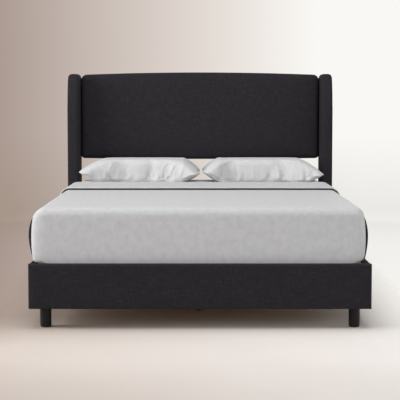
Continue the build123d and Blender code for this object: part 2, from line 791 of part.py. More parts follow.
with BuildPart() as coverlet:
    add(drape_layer(coverlet_foot_y, foot_panel_back_y, 0, foot_panel_lean, foot_panel_hem, coverlet_edge))
    add(drape_layer(foot_panel_back_y, coverlet_head_y, 0, side_drop_lean, side_drop_hem, 0))
    add(drape_layer(fold_hem_y, coverlet_head_y, coverlet_fold_thickness, side_drop_lean, side_drop_hem, 0))
    inner_edge = coverlet_edge - coverlet_thickness
    add(drape_layer(coverlet_foot_y + coverlet_thickness, foot_panel_back_y, -coverlet_thickness,
                    foot_panel_lean, foot_panel_hem, inner_edge), mode=Mode.SUBTRACT)
    add(drape_layer(foot_panel_back_y, coverlet_head_y + overrun, -coverlet_thickness,
                    side_drop_lean, side_drop_hem, 0), mode=Mode.SUBTRACT)
    tuck_x = rail_inner_x - 2 * coverlet_thickness
    block((-tuck_x, coverlet_foot_y, hem_z - coverlet_tuck),
          (tuck_x, coverlet_foot_y + coverlet_thickness, hem_z))
save(coverlet, "coverlet")

piping_lift = piping_radius + fit_gap
fold_piping_y = fold_hem_y - piping_lift
corner_piping_y = foot_panel_back_y - piping_lift
with BuildPart() as coverlet_piping:
    with BuildLine(Plane.XZ.offset(-fold_piping_y)) as fold_hem:
        half_drape(piping_lift, side_drop_lean, side_drop_hem)
    with BuildSketch(Plane(origin=fold_hem.line @ 0, z_dir=(1, 0, 0))):
        Circle(piping_radius)
    sweep(path=fold_hem.wire())
    drop = side_drop(-coverlet_thickness / 2, side_drop_lean, side_drop_hem)
    drop = drop.trim(corner_piping_start_share, 1)
    with BuildLine(Plane.XZ.offset(-corner_piping_y)) as corner_hem:
        ThreePointArc(*flat(drop @ 0, drop @ 0.5, drop @ 1))
    with BuildSketch(Plane(origin=corner_hem.line @ 0, z_dir=corner_hem.line % 0)):
        Circle(piping_radius)
    sweep(path=corner_hem.wire())
    mirror(about=Plane.YZ)
save(coverlet_piping, "coverlet_piping")


# Pillows
pillow_width = (mattress_width - pillow_gap) / 2 - pillow_side_gap


def pillow_section(number):
    """A lens across the pillow: two arcs that meet at the front and back seams."""
    from_middle = cos(pi * number / pillow_spans)
    place = (1 - from_middle) / 2
    swell = max((1 - abs(from_middle) ** pillow_blunt_power) ** pillow_round_power, pillow_tip_share)
    middle_y = panel_front_y - pillow_head_gap - pillow_depth / 2
    seam_z = mattress_top + pillow_seam_height
    drawn_in = 1 - (1 - pillow_waist_share) * (1 - from_middle**2)
    half = drawn_in * pillow_depth / 2
    with BuildSketch(Plane.YZ.offset(pillow_gap / 2 + place * pillow_width)) as lens:
        with BuildLine():
            ThreePointArc((middle_y - half, seam_z), (middle_y, seam_z + swell * pillow_crown),
                          (middle_y + half, seam_z))
            ThreePointArc((middle_y - half, seam_z), (middle_y, seam_z - swell * pillow_belly),
                          (middle_y + half, seam_z))
        make_face()
    return lens.sketch


for hand in hands:
    with BuildPart() as pillow:
        loft([pillow_section(number) for number in range(pillow_spans + 1)], ruled=True)
        bed_z = sheet_top + fit_gap
        split(bisect_by=Plane.XY.offset(bed_z), keep=Keep.TOP)
        to_hand(hand)
    save(pillow, f"pillow_{hand}")
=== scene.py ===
from math import acos, ceil, cos, exp, pi, radians, sin, sqrt

import bmesh
import bpy
from bpy.props import FloatProperty, FloatVectorProperty, PointerProperty
from bpy.types import Operator, Panel, PropertyGroup
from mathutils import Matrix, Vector, noise


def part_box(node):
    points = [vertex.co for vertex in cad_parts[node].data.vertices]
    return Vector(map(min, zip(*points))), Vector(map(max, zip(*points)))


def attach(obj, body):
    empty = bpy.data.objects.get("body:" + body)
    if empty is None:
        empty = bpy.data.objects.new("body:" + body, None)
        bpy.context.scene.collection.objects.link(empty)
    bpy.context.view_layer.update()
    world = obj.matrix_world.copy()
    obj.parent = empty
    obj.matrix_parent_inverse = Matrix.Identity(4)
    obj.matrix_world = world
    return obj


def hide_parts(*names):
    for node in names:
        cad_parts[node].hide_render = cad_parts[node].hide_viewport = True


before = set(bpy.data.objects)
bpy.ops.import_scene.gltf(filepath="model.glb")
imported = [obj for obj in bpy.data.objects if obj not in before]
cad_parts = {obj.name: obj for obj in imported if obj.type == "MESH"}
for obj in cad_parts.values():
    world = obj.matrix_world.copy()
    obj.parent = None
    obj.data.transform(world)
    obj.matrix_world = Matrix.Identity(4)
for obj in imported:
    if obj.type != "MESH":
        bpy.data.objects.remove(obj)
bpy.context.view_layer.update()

bl_info = {
    "name": "Wingback bed",
    "version": (1, 0, 0),
    "blender": (4, 5, 0),
    "location": "3D view, sidebar, Bed tab",
    "description": "Dresses the frame of an upholstered wingback bed with its fabrics, bedding and finishes",
    "category": "Object",
}

MM = 0.001


def cad(node):
    """The lowest and the highest corner of a CAD node, as vectors in metres."""
    low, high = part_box(node)
    return Vector(low), Vector(high)


# Places that the frame gives
panel_low, panel_high = cad("headboard_cover")
wing_low, wing_high = cad("wing_cover_right")
foot_rail_low, foot_rail_high = cad("foot_rail_cover")
side_rail_low, side_rail_high = cad("side_rail_cover_right")
head_rail_low, head_rail_high = cad("head_rail_cover")
mattress_low, mattress_high = cad("mattress")
sheet_low, sheet_high = cad("fitted_sheet")
coverlet_low, coverlet_high = cad("coverlet")
back_cloth_low, back_cloth_high = cad("headboard_back_cloth")
pillow_low, pillow_high = cad("pillow_right")
ledger_low, ledger_high = cad("ledger_right")

# Forms of the upholstery. They follow the solids, but the panel's crown and corners are a little smaller
FABRIC = 1.5 * MM
FIT_GAP = 0.3 * MM
PANEL_CROWN_RISE = 15.5 * MM
PANEL_BOTTOM_BOW = 6 * MM
PANEL_TOP_CORNER = 34 * MM
PANEL_BOTTOM_CORNER = 14 * MM
PANEL_ROLL = 22 * MM
PANEL_BACK_EDGE = 5 * MM
WING_CURVE_RUN = 100 * MM
WING_CURVE_RISE = 280 * MM
WING_SHOULDER = 60 * MM
WING_BACK_CORNER = 24 * MM
WING_EDGE = 18 * MM
WING_INNER_ROUND = 30 * MM
WING_INNER_SWELL = 2.5 * MM
WING_OUTER_SWELL_SHARE = 0.2
WING_TOP_LOFT = 5 * MM
WING_LOFT_RUN = 150 * MM
RAIL_EDGE = 8 * MM
HEAD_RAIL_EDGE = 5 * MM
RETURN_TOP = 20 * MM
RETURN_BOTTOM = 30 * MM

# Forms of the bedding, with leans in degrees from upright
MATTRESS_CORNER = 70 * MM
MATTRESS_EDGE = 34 * MM
TAPE_RADIUS = 3.2 * MM
TAPE_INSET = 3 * MM
TAPE_FROM_EDGE = 20 * MM
SHEET_THICKNESS = 1.1 * MM
SHOULDER_SETBACK = 34 * MM
FOLD_THICKNESS = 8 * MM
FOLD_LENGTH = 438 * MM
COVERLET_TUCK = 12 * MM
FOOT_PANEL_WRAP = 66 * MM
FOOT_PANEL_LEAN = 10
FOOT_PANEL_OVERHANG = 16 * MM
LEFT_HEM_SHARE = 0.65
SIDE_DROP_LEAN = 25
SIDE_DROP_OVERHANG = 36 * MM
SIDE_DROP_LENGTH = 240 * MM
PILLOW_SEAM_HEIGHT = 52 * MM
PILLOW_BELLY = 74 * MM
PILLOW_SAG = 42 * MM
PILLOW_CREASE = 19 * MM
PILLOW_TIP_RUN = 150 * MM
# Over what length a pillow thins towards its end at the bed's middle, and towards the other
PILLOW_END_RUNS = (110 * MM, 150 * MM)

# How each pillow lies, in millimetres: how far right of its solid's place, how far its tips curl up on the
# side of the bed's middle and on the other, and the centre and half width of its creases, from its middle
# outwards
PILLOW_LAY = {
    "right": {"aside": 8, "tips": (22, 6), "creases": ((-127, 55), (103, 40), (264, 50))},
    "left": {"aside": 8, "tips": (14, 18), "creases": ((205, 80), (-211, 60))},
}

# The photograph's camera: its place in metres, its tilt down in degrees, its lens in millimetres and its
# shift, as a share of the picture's width
CAMERA_PLACE = (0.0, -6.393, 1.068)
CAMERA_TILT = 3.785
CAMERA_LENS = 103.5
CAMERA_SHIFT = -0.06


def linear(colour):
    """An sRGB hex colour as the linear red, green and blue that Blender works in."""
    parts = [int(colour[i:i + 2], 16) / 255 for i in (0, 2, 4)]
    return tuple(c / 12.92 if c <= 0.04045 else ((c + 0.055) / 1.055) ** 2.4 for c in parts)


def length(name, about, millimetres):
    """A length that the sidebar shows in the scene's units."""
    return FloatProperty(name=name, description=about, default=millimetres * MM, min=0, subtype="DISTANCE",
                         unit="LENGTH", precision=4)


def colour(name, about, value):
    """A colour that the sidebar shows as a swatch."""
    return FloatVectorProperty(name=name, description=about, default=linear(value), min=0, max=1, size=3,
                               subtype="COLOR")


class BedSizes(PropertyGroup):
    """Sizes of the soft pieces that the frame leaves open"""

    panel_swell: length("Panel swell", "How far the headboard's padding stands proud of its start", 6)
    wing_swell: length("Wing swell", "How far the wings' padding stands proud of its start", 4)
    pad_voxel: length("Pad cell", "Cell size of the padded forms before they swell", 10)
    pillow_cell: length("Pillow cell", "Cell size of the pillow cases before they are filled", 8)
    pillow_pressure: FloatProperty(name="Pillow filling", description="Pressure that fills the pillow cases",
                                   default=3.2, min=0)
    coverlet_thickness: length("Coverlet thickness", "Thickness of the quilted coverlet", 6)
    coverlet_ripple: length("Coverlet ripple", "Height of the soft ripples on the coverlet", 1.6)
    drop_wave: length("Drop wave", "Depth of the waves in the coverlet's side drops", 5)
    foot_corner_slack: length("Left foot slack", "How much looser the coverlet's left foot corner hangs", 14)
    drop_return: length("Drop return", "How far the side drops swing back in at their hems", 18)
    foot_hem_round: length("Foot hem corner", "Radius of the foot panel's lower right corner", 46)
    piping_radius: length("Piping radius", "Radius of the charcoal piping on the side drops", 4)
    band_piping_radius: length("Band piping radius", "Radius of the charcoal piping on the folded band", 2.2)
    thread: length("Thread spacing", "Spacing of the upholstery's yarns", 2)


class BedColours(PropertyGroup):
    """Colours of the bed's finishes"""

    linen: colour("Linen", "Charcoal upholstery yarn", "2A282C")
    linen_dark: colour("Linen shade", "Darker yarn of the upholstery", "242226")
    linen_light: colour("Linen fleck", "Lighter yarn of the upholstery", "353338")
    coverlet: colour("Coverlet", "Grey cotton sateen", "C7C8CA")
    piping: colour("Piping", "Charcoal cotton piping", "29292B")
    pillow: colour("Pillow", "Cool white cotton percale", "C9C9CA")
    sheet: colour("Sheet", "Light grey cotton jersey", "D2D2D3")
    ticking: colour("Ticking", "Mattress ticking", "E4E2DD")
    leg: colour("Legs", "Black stained wood", "0B0A0C")
    pine: colour("Pine", "Planed pine", "D9B98A")
    plywood: colour("Plywood", "Birch plywood", "CFAE80")
    steel: colour("Steel", "Zinc plated steel", "B9BABC")
    nylon: colour("Glides", "Dark nylon", "262626")
    back_cloth: colour("Back cloth", "Black spun-bonded dust cloth", "1A1A1C")
    floor_left: colour("Floor left", "Floor in front of the bed on its left", "CEC3BA")
    floor_right: colour("Floor right", "Floor in front of the bed on its right", "F2EEEB")
    floor_back_left: colour("Floor back left", "Floor beside and behind the bed on its left", "A59487")
    floor_back_right: colour("Floor back right", "Floor beside and behind the bed on its right", "F4F0EA")
    backdrop_left: colour("Backdrop left", "Warm beige of the backdrop's left", "AC9B92")
    backdrop_middle: colour("Backdrop middle", "Pale beige of the backdrop's middle", "E1D8D1")
    backdrop_right: colour("Backdrop right", "Near white of the backdrop's right", "FAF8F4")


def add_node(tree, kind, inputs=(), **options):
    """Add a node, set its options and give each input its value or the socket that it reads."""
    node = tree.nodes.new(kind)
    for name, option in options.items():
        setattr(node, name, option)
    for key, value in dict(inputs).items():
        if isinstance(value, bpy.types.NodeSocket):
            tree.links.new(value, node.inputs[key])
        else:
            node.inputs[key].default_value = value
    return node


def start_material(name, woven, **sockets):
    """A new material with constants on its shader's own sockets, and the place that its patterns read: the
    weave map of a woven piece, or else the piece's object coordinates."""
    material = bpy.data.materials.new(name)
    material.use_nodes = True
    tree = material.node_tree
    shader = tree.nodes["Principled BSDF"]
    for key, value in sockets.items():
        shader.inputs[key.replace("_", " ")].default_value = value
    if woven:
        place = add_node(tree, "ShaderNodeUVMap", uv_map="weave").outputs["UV"]
    else:
        place = add_node(tree, "ShaderNodeTexCoord").outputs["Object"]
    return material, tree, shader, place


def opaque(tone, share=1.0):
    """A colour as the four parts that a socket takes, darkened or lightened by a share."""
    return (*(share * part for part in tone), 1.0)


def mottle(tree, place, grain, detail, rough=0.5):
    """Soft noise from 0 to 1, in grains that are so many millimetres long along each axis."""
    scale = [1 / (size * MM) for size in grain]
    spot = add_node(tree, "ShaderNodeMapping", {"Vector": place, "Scale": scale}).outputs["Vector"]
    settings = {"Vector": spot, "Scale": 1.0, "Detail": detail, "Roughness": rough}
    return add_node(tree, "ShaderNodeTexNoise", settings).outputs["Fac"]


def shade(tree, pattern, reach, first, second, shares=(0.0, 1.0)):
    """A colour that turns from one to the other by those shares, while a pattern runs through its reach."""
    settings = {"Value": pattern, "From Min": reach[0], "From Max": reach[1], "To Min": shares[0],
                "To Max": shares[1]}
    share = add_node(tree, "ShaderNodeMapRange", settings).outputs["Result"]
    return add_node(tree, "ShaderNodeMix", {0: share, 6: first, 7: second}, data_type="RGBA").outputs[2]


def finish_shader(tree, shader, colour, height, relief, strength=1.0):
    """Give a shader its colour, and a bump whose full height is that relief in metres."""
    settings = {"Height": height, "Distance": relief, "Strength": strength}
    bump = add_node(tree, "ShaderNodeBump", settings)
    tree.links.new(bump.outputs["Normal"], shader.inputs["Normal"])
    tree.links.new(colour, shader.inputs["Base Color"])


def plain_weave(tree, place, thread):
    """Height of a plain weave from 0 to 1: two sets of yarns that cross, one up and one down."""
    scale = (pi / thread,) * 3
    spot = add_node(tree, "ShaderNodeMapping", {"Vector": place, "Scale": scale}).outputs["Vector"]
    parts = add_node(tree, "ShaderNodeSeparateXYZ", {"Vector": spot}).outputs
    waves = []
    for axis in "XY":
        sine = add_node(tree, "ShaderNodeMath", {0: parts[axis]}, operation="SINE").outputs[0]
        waves.append(add_node(tree, "ShaderNodeMath", {0: sine, 1: sine}, operation="MULTIPLY").outputs[0])
    return add_node(tree, "ShaderNodeMath", {0: waves[0], 1: waves[1]}, operation="MULTIPLY").outputs[0]


def woven_linen():
    """Linen-look polyester, woven plain from slubbed yarns: matt, with lighter and darker yarns together."""
    colours = bpy.context.scene.bed_colours
    material, tree, shader, place = start_material("woven_linen_charcoal", True, Roughness=0.95,
                                                   Specular_IOR_Level=0.15)
    # Slubs are 50 mm long and drawn 5 mm thick, three times the real yarn, so that the render can show them
    slub, yarn = 50, 5
    across = mottle(tree, place, (slub, yarn, yarn), 3.0, 0.6)
    along = mottle(tree, place, (yarn, slub, yarn), 3.0, 0.6)
    yarns = add_node(tree, "ShaderNodeMix", {0: 0.5, 2: across, 3: along}).outputs[0]
    weave = plain_weave(tree, place, bpy.context.scene.bed_sizes.thread)
    cloud = mottle(tree, place, (160, 160, 160), 2.0)
    dark = opaque(colours.linen_dark)
    cloth = shade(tree, yarns, (0.38, 0.52), dark, opaque(colours.linen))
    cloth = shade(tree, yarns, (0.50, 0.66), cloth, opaque(colours.linen_light))
    cloth = shade(tree, cloud, (0.35, 0.75), cloth, dark, (0.0, 0.22))
    # Painted shade: the hollows between the yarns, where the weave is low, are drawn up to 30 % darker
    cloth = shade(tree, weave, (0.0, 0.5), cloth, dark, (0.30, 0.0))
    height = add_node(tree, "ShaderNodeMath", {0: weave, 1: 0.5, 2: yarns}, operation="MULTIPLY_ADD")
    finish_shader(tree, shader, cloth, height.outputs[0], 0.9 * MM, 0.6)
    return material


def sateen_cotton():
    """Cotton sateen, woven with long floats and lightly quilted: smooth, with a soft shine at its edges."""
    coverlet = bpy.context.scene.bed_colours.coverlet
    material, tree, shader, place = start_material("sateen_cotton_grey", True, Roughness=0.55,
                                                   Specular_IOR_Level=0.15, Sheen_Weight=0.06,
                                                   Sheen_Roughness=0.40)
    crumple = mottle(tree, place, (28, 28, 28), 4.0, 0.6)
    # The floats are drawn 3 mm wide, far wider than the real ones, so that the render can show them
    fibre = mottle(tree, place, (12, 3, 3), 2.0)
    cloth = shade(tree, crumple, (0.35, 0.70), opaque(coverlet), opaque(coverlet, 0.80), (0.0, 0.6))
    height = add_node(tree, "ShaderNodeMath", {0: fibre, 1: 0.06, 2: crumple}, operation="MULTIPLY_ADD")
    finish_shader(tree, shader, cloth, height.outputs[0], 1.6 * MM, 0.5)
    return material


def percale_cotton(name, tone, crease):
    """Cotton percale, jersey or damask, washed and not ironed: matt and softly bright, with fine creases."""
    material, tree, shader, place = start_material(name, True, Roughness=0.85, Specular_IOR_Level=0.30,
                                                   Sheen_Weight=0.15, Sheen_Roughness=0.5)
    folds = mottle(tree, place, (30, 30, 30), 4.0, 0.55)
    cloth = shade(tree, folds, (0.4, 0.8), opaque(tone), opaque(tone, 0.93))
    finish_shader(tree, shader, cloth, folds, crease, 0.6)
    return material


def twill_piping():
    """Cotton twill cut on the bias round a cord: matt, with a fine rib round it."""
    piping = bpy.context.scene.bed_colours.piping
    material, tree, shader, place = start_material("twill_piping_charcoal", True, Roughness=0.9,
                                                   Specular_IOR_Level=0.25)
    rib = mottle(tree, place, (2, 6, 6), 2.0)
    finish_shader(tree, shader, shade(tree, rib, (0, 1), opaque(piping), opaque(piping, 1.5)), rib, 0.4 * MM)
    return material


def sawn_wood(name, tone, along, gloss=0.55, depth=0.25, shine=0.35):
    """Planed softwood or veneer: growth rings drawn out along the grain, silky where it is sanded."""
    material, tree, shader, place = start_material(name, False, Roughness=gloss, Specular_IOR_Level=shine)
    # Rings are 6 mm apart across the grain and run for 400 mm along it. Pores are 1.2 mm wide and 50 mm long
    rings = mottle(tree, place, [400 if axis == along else 6 for axis in "XYZ"], 4.0, 0.6)
    pores = mottle(tree, place, [50 if axis == along else 1.2 for axis in "XYZ"], 2.0)
    grain = add_node(tree, "ShaderNodeMix", {0: 0.25, 2: rings, 3: pores}).outputs[0]
    # Late wood is redder: each part of its colour is darker than the one before
    late = [(1 - depth) ** (1 + number * 0.6) * part for number, part in enumerate(tone)]
    wood = shade(tree, grain, (0.35, 0.68), opaque(tone), opaque(late))
    finish_shader(tree, shader, wood, grain, 0.3 * MM, 0.5)
    return material


def zinc_steel():
    """Mild steel, pressed and zinc plated: grey metal with a faint spangle."""
    steel = bpy.context.scene.bed_colours.steel
    material, tree, shader, place = start_material("zinc_plated_steel", False, Metallic=1.0, Roughness=0.38)
    spangle = mottle(tree, place, (6, 6, 6), 2.0)
    plating = shade(tree, spangle, (0, 1), opaque(steel), opaque(steel, 0.72))
    tree.links.new(plating, shader.inputs["Base Color"])
    settings = {"Value": spangle, "From Min": 0.3, "From Max": 0.7, "To Min": 0.30, "To Max": 0.46}
    rough = add_node(tree, "ShaderNodeMapRange", settings).outputs["Result"]
    tree.links.new(rough, shader.inputs["Roughness"])
    return material


def moulded_nylon():
    """Nylon, injection moulded: dark, half matt, with a fine spark texture."""
    nylon = bpy.context.scene.bed_colours.nylon
    material, tree, shader, place = start_material("moulded_nylon", False, Roughness=0.55)
    grain = mottle(tree, place, (0.8, 0.8, 0.8), 2.0)
    tone = shade(tree, grain, (0, 1), opaque(nylon), opaque(nylon, 1.35))
    finish_shader(tree, shader, tone, grain, 0.1 * MM)
    return material


def spun_bonded_cloth():
    """Polypropylene, spun-bonded: thin black dust cloth with dimples 3 mm apart."""
    cloth = bpy.context.scene.bed_colours.back_cloth
    material, tree, shader, place = start_material("spun_bonded_black", True, Roughness=0.8,
                                                   Specular_IOR_Level=0.3)
    dimples = plain_weave(tree, place, 3 * MM)
    fibres = mottle(tree, place, (4, 4, 4), 3.0, 0.6)
    height = add_node(tree, "ShaderNodeMath", {0: dimples, 1: fibres}, operation="ADD").outputs[0]
    colour = shade(tree, fibres, (0, 1), opaque(cloth), opaque(cloth, 1.7))
    finish_shader(tree, shader, colour, height, 0.3 * MM, 0.5)
    return material


made_materials = {}


def material_of(name):
    """One of the bed's materials, made the first time that it is asked for."""
    colours = bpy.context.scene.bed_colours
    makers = {
        "linen": woven_linen,
        "sateen": sateen_cotton,
        "pillow": lambda: percale_cotton("percale_cotton_white", colours.pillow, 0.8 * MM),
        "sheet": lambda: percale_cotton("jersey_cotton_grey", colours.sheet, 0.4 * MM),
        "ticking": lambda: percale_cotton("damask_ticking", colours.ticking, 1.2 * MM),
        "piping": twill_piping,
        "pine_across": lambda: sawn_wood("planed_pine_across", colours.pine, "X"),
        "pine_along": lambda: sawn_wood("planed_pine_along", colours.pine, "Y"),
        "pine_upright": lambda: sawn_wood("planed_pine_upright", colours.pine, "Z"),
        "plywood": lambda: sawn_wood("birch_plywood", colours.plywood, "X", 0.6, 0.14),
        "leg": lambda: sawn_wood("stained_beech_black", colours.leg, "Z", 0.55, 0.35, 0.26),
        "steel": zinc_steel,
        "nylon": moulded_nylon,
        "back_cloth": spun_bonded_cloth,
    }
    if name not in made_materials:
        made_materials[name] = makers[name]()
    return made_materials[name]


def surface(columns, rows, place, size):
    """A grid of cells with corners at place(across, along), both from 0 to 1, and a weave map in metres."""
    bm = bmesh.new()
    bmesh.ops.create_grid(bm, x_segments=columns, y_segments=rows, size=0.5)
    weave = bm.loops.layers.uv.new("weave")
    for face in bm.faces:
        for loop in face.loops:
            loop[weave].uv = ((loop.vert.co.x + 0.5) * size[0], (loop.vert.co.y + 0.5) * size[1])
    for vert in bm.verts:
        vert.co = place(vert.co.x + 0.5, vert.co.y + 0.5)
    bmesh.ops.remove_doubles(bm, verts=bm.verts, dist=0.02 * MM)
    return bm


def lay_weave(bm):
    """A weave map in metres, laid on each face along the axis that it faces most."""
    weave = bm.loops.layers.uv.get("weave") or bm.loops.layers.uv.new("weave")
    for face in bm.faces:
        sides = [abs(part) for part in face.normal]
        facing = sides.index(max(sides))
        for loop in face.loops:
            x, y, z = loop.vert.co
            loop[weave].uv = ((y, z), (x, z), (x, y))[facing]


def join_into(bm, *others):
    """Add other forms to one and weld the corners that they share."""
    for other in others:
        mesh = bpy.data.meshes.new("part")
        other.to_mesh(mesh)
        other.free()
        bm.from_mesh(mesh)
        bpy.data.meshes.remove(mesh)
    bmesh.ops.remove_doubles(bm, verts=bm.verts, dist=0.02 * MM)
    return bm


def make_object(name, bm, smooth=40):
    """A scene object from a form, smooth up to an angle in degrees between its faces."""
    mesh = bpy.data.meshes.new(name)
    bm.to_mesh(mesh)
    bm.free()
    mesh.shade_smooth()
    mesh.set_sharp_from_angle(angle=radians(smooth))
    obj = bpy.data.objects.new(name, mesh)
    bpy.context.scene.collection.objects.link(obj)
    return obj


def dress(obj, material, slot, body, *nodes):
    """Give a finished piece its material, the body it rides on and the nodes it replaces. Its slot is not
    used.
    """
    obj.data.materials.clear()
    obj.data.materials.append(material_of(material))
    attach(obj, body)
    if nodes:
        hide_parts(*nodes)


def thicken(obj, thickness):
    """Give a cloth its thickness, inwards from its outer face."""
    modifier = obj.modifiers.new("thickness", "SOLIDIFY")
    modifier.thickness = thickness
    modifier.offset = -1
    modifier.use_even_offset = True
    modifier.use_rim = True


def smooth_out(obj):
    """One subdivision, the same in the view and in the render."""
    modifier = obj.modifiers.new("smooth", "SUBSURF")
    modifier.levels = 1
    modifier.render_levels = 1


def remesh(bm, voxel):
    """The form as one even skin of square cells."""
    obj = make_object("remesh", bm)
    modifier = obj.modifiers.new("cells", "REMESH")
    modifier.mode = "VOXEL"
    modifier.voxel_size = voxel
    evaluated = obj.evaluated_get(bpy.context.evaluated_depsgraph_get())
    skin = bmesh.new()
    skin.from_mesh(evaluated.to_mesh())
    evaluated.to_mesh_clear()
    bpy.data.objects.remove(obj, do_unlink=True)
    return skin


def fill_cloth(bm, pressure, frames, tension):
    """Let air pressure fill a closed cloth, without gravity, and return where each corner ends."""
    scene = bpy.context.scene
    obj = make_object("filling", bm)
    modifier = obj.modifiers.new("filling", "CLOTH")
    settings = modifier.settings
    settings.quality = 5
    settings.mass = 0.3
    settings.tension_stiffness = tension
    settings.compression_stiffness = tension
    settings.shear_stiffness = 5.0
    settings.bending_stiffness = 0.5
    settings.use_pressure = True
    settings.uniform_pressure_force = pressure
    settings.effector_weights.gravity = 0
    modifier.point_cache.frame_start = 1
    modifier.point_cache.frame_end = frames
    for number in range(1, frames + 1):
        scene.frame_set(number)
    evaluated = obj.evaluated_get(bpy.context.evaluated_depsgraph_get())
    ends = [vert.co.copy() for vert in evaluated.data.vertices]
    obj.modifiers.remove(modifier)
    start = bmesh.new()
    start.from_mesh(obj.data)
    start.verts.ensure_lookup_table()
    bpy.data.objects.remove(obj, do_unlink=True)
    scene.frame_set(1)
    return start, ends


def swell_pad(bm, voxel, swell, share, keep_in):
    """Swell a padded form by cloth pressure, each corner by its share, and keep it off its neighbours."""
    skin = remesh(bm, voxel)
    skin, ends = fill_cloth(skin, pressure=4.0, frames=20, tension=15.0)
    for vert, end in zip(skin.verts, ends):
        move = end - vert.co
        if move.length > 0:
            vert.co += move.normalized() * swell * (1 - exp(-move.length / swell)) * share(vert.co)
    for vert in skin.verts:
        keep_in(vert)
    bmesh.ops.recalc_face_normals(skin, faces=skin.faces)
    lay_weave(skin)
    return skin


def smoothstep(low, high, value):
    """From 0 at one value to 1 at another, flat at both ends."""
    share = min(1, max(0, (value - low) / (high - low)))
    return share * share * (3 - 2 * share)


def block(low, high):
    """A square block between two corners."""
    bm = bmesh.new()
    bmesh.ops.create_cube(bm, size=1)
    bmesh.ops.scale(bm, vec=high - low, verts=bm.verts)
    bmesh.ops.translate(bm, vec=(low + high) / 2, verts=bm.verts)
    return bm


def round_edges(bm, edges, radius, segments=5):
    """Round some edges of a form."""
    bmesh.ops.bevel(bm, geom=list(edges), offset=radius, offset_type="OFFSET", affect="EDGES",
                    segments=segments, profile=0.5, material=-1)


def along(edge, axis):
    """Whether an edge runs along an axis."""
    way = edge.verts[1].co - edge.verts[0].co
    return abs(way[axis]) > 0.999 * way.length


def flat_at(edge, axis, place):
    """Whether an edge lies in the plane at that place along an axis."""
    return all(abs(vert.co[axis] - place) < 0.01 * MM for vert in edge.verts)


def cut_ends(bm, axis):
    """Open a form at the ends that face along an axis."""
    ends = [face for face in bm.faces if abs(face.normal[axis]) > 0.9]
    bmesh.ops.delete(bm, geom=ends, context="FACES")


def slice_form(bm, axis, places):
    """Cut a form across an axis at several places, and keep all of it."""
    normal = [0, 0, 0]
    normal[axis] = 1
    for place in places:
        point = [0, 0, 0]
        point[axis] = place
        geometry = bm.verts[:] + bm.edges[:] + bm.faces[:]
        bmesh.ops.bisect_plane(bm, geom=geometry, plane_co=point, plane_no=normal)


def steps(low, high, count):
    """Places that divide a stretch evenly, without its ends."""
    return [low + (high - low) * number / count for number in range(1, count)]


def quarter(count):
    """Angles from 0 to a right angle in even steps."""
    return [pi / 2 * number / count for number in range(count + 1)]


def mirrored(bm):
    """A copy of a form on the other side of the bed."""
    other = bm.copy()
    bmesh.ops.scale(other, vec=(-1, 1, 1), verts=other.verts)
    bmesh.ops.recalc_face_normals(other, faces=other.faces)
    return other


def tube(path, radius, around, sides=12):
    """A round cord along points in one plane with that normal. Its radius follows its share of the length."""
    def place(across, share):
        number = round(share * (len(path) - 1))
        here = path[number]
        way = (path[min(number + 1, len(path) - 1)] - path[max(number - 1, 0)]).normalized()
        side = way.cross(around)
        turn = 2 * pi * across
        return here + radius(share) * (cos(turn) * around + sin(turn) * side)

    run = sum((b - a).length for a, b in zip(path, path[1:]))
    bm = surface(sides, len(path) - 1, place, (2 * pi * radius(0.5), run))
    bmesh.ops.recalc_face_normals(bm, faces=bm.faces)
    return bm


def panel_form(inset_x, inset, front_y, back_y, roll):
    """The headboard panel as a slab with a crowned top, rounded corners and a rolled front edge."""
    low = Vector((panel_low.x + inset_x, front_y, panel_low.z + PANEL_BOTTOM_BOW + inset))
    high = Vector((panel_high.x - inset_x, back_y, panel_high.z - PANEL_CROWN_RISE - inset))
    bm = block(low, high)
    middle = (low.z + high.z) / 2
    top = [edge for edge in bm.edges if along(edge, 1) and edge.verts[0].co.z > middle]
    round_edges(bm, top, PANEL_TOP_CORNER - inset, 6)
    bottom = [edge for edge in bm.edges if along(edge, 1) and flat_at(edge, 2, low.z)]
    round_edges(bm, bottom, PANEL_BOTTOM_CORNER - inset, 4)
    if roll:
        round_edges(bm, [edge for edge in bm.edges if flat_at(edge, 1, front_y)], roll, 6)
        round_edges(bm, [edge for edge in bm.edges if flat_at(edge, 1, back_y)], PANEL_BACK_EDGE, 2)
    slice_form(bm, 0, steps(low.x, high.x, 36))
    for vert in bm.verts:
        bow = 1 - (vert.co.x / panel_high.x) ** 2
        share = (vert.co.z - middle) / (high.z - middle)
        vert.co.z += (PANEL_CROWN_RISE if share > 0 else PANEL_BOTTOM_BOW) * bow * share
    return bm


def wing_setback(z):
    """How far the wing's front leans back at a height: one long arc, then a tight one at the shoulder."""
    run, rise, tight = WING_CURVE_RUN, WING_CURVE_RISE, WING_SHOULDER
    long = (run ** 2 + (rise - tight) ** 2 - tight ** 2) / (2 * (run - tight))
    above = z - (wing_high.z - rise)
    if above <= 0:
        return 0.0
    join = (rise - tight) * long / (long - tight)
    if above <= join:
        return long - sqrt(long ** 2 - above ** 2)
    return run - sqrt(max(tight ** 2 - (above - rise + tight) ** 2, 0))


def wing_form(inset):
    """The right wing as a board with a leaning front, a round shoulder and rounded edges."""
    low = wing_low + Vector((0, inset, 0))
    high = wing_high - Vector((inset, 0, 0))
    bm = block(low, high)
    shoulder = [high.z - 4 * MM, high.z - 12 * MM]
    slice_form(bm, 2, steps(wing_high.z - WING_CURVE_RISE, high.z, 14) + shoulder)
    for vert in bm.verts:
        if abs(vert.co.y - low.y) < 0.01 * MM:
            vert.co.y += wing_setback(min(vert.co.z, wing_high.z))
    top_back = [edge for edge in bm.edges if flat_at(edge, 2, high.z) and flat_at(edge, 1, high.y)]
    round_edges(bm, top_back, WING_BACK_CORNER, 5)
    bm.normal_update()
    rims = [
        edge for edge in bm.edges
        if len(edge.link_faces) == 2
        and sorted(abs(face.normal.x) > 0.9 for face in edge.link_faces) == [False, True]
        and not flat_at(edge, 2, low.z)
    ]
    round_edges(bm, rims, WING_EDGE - inset, 5)
    return bm


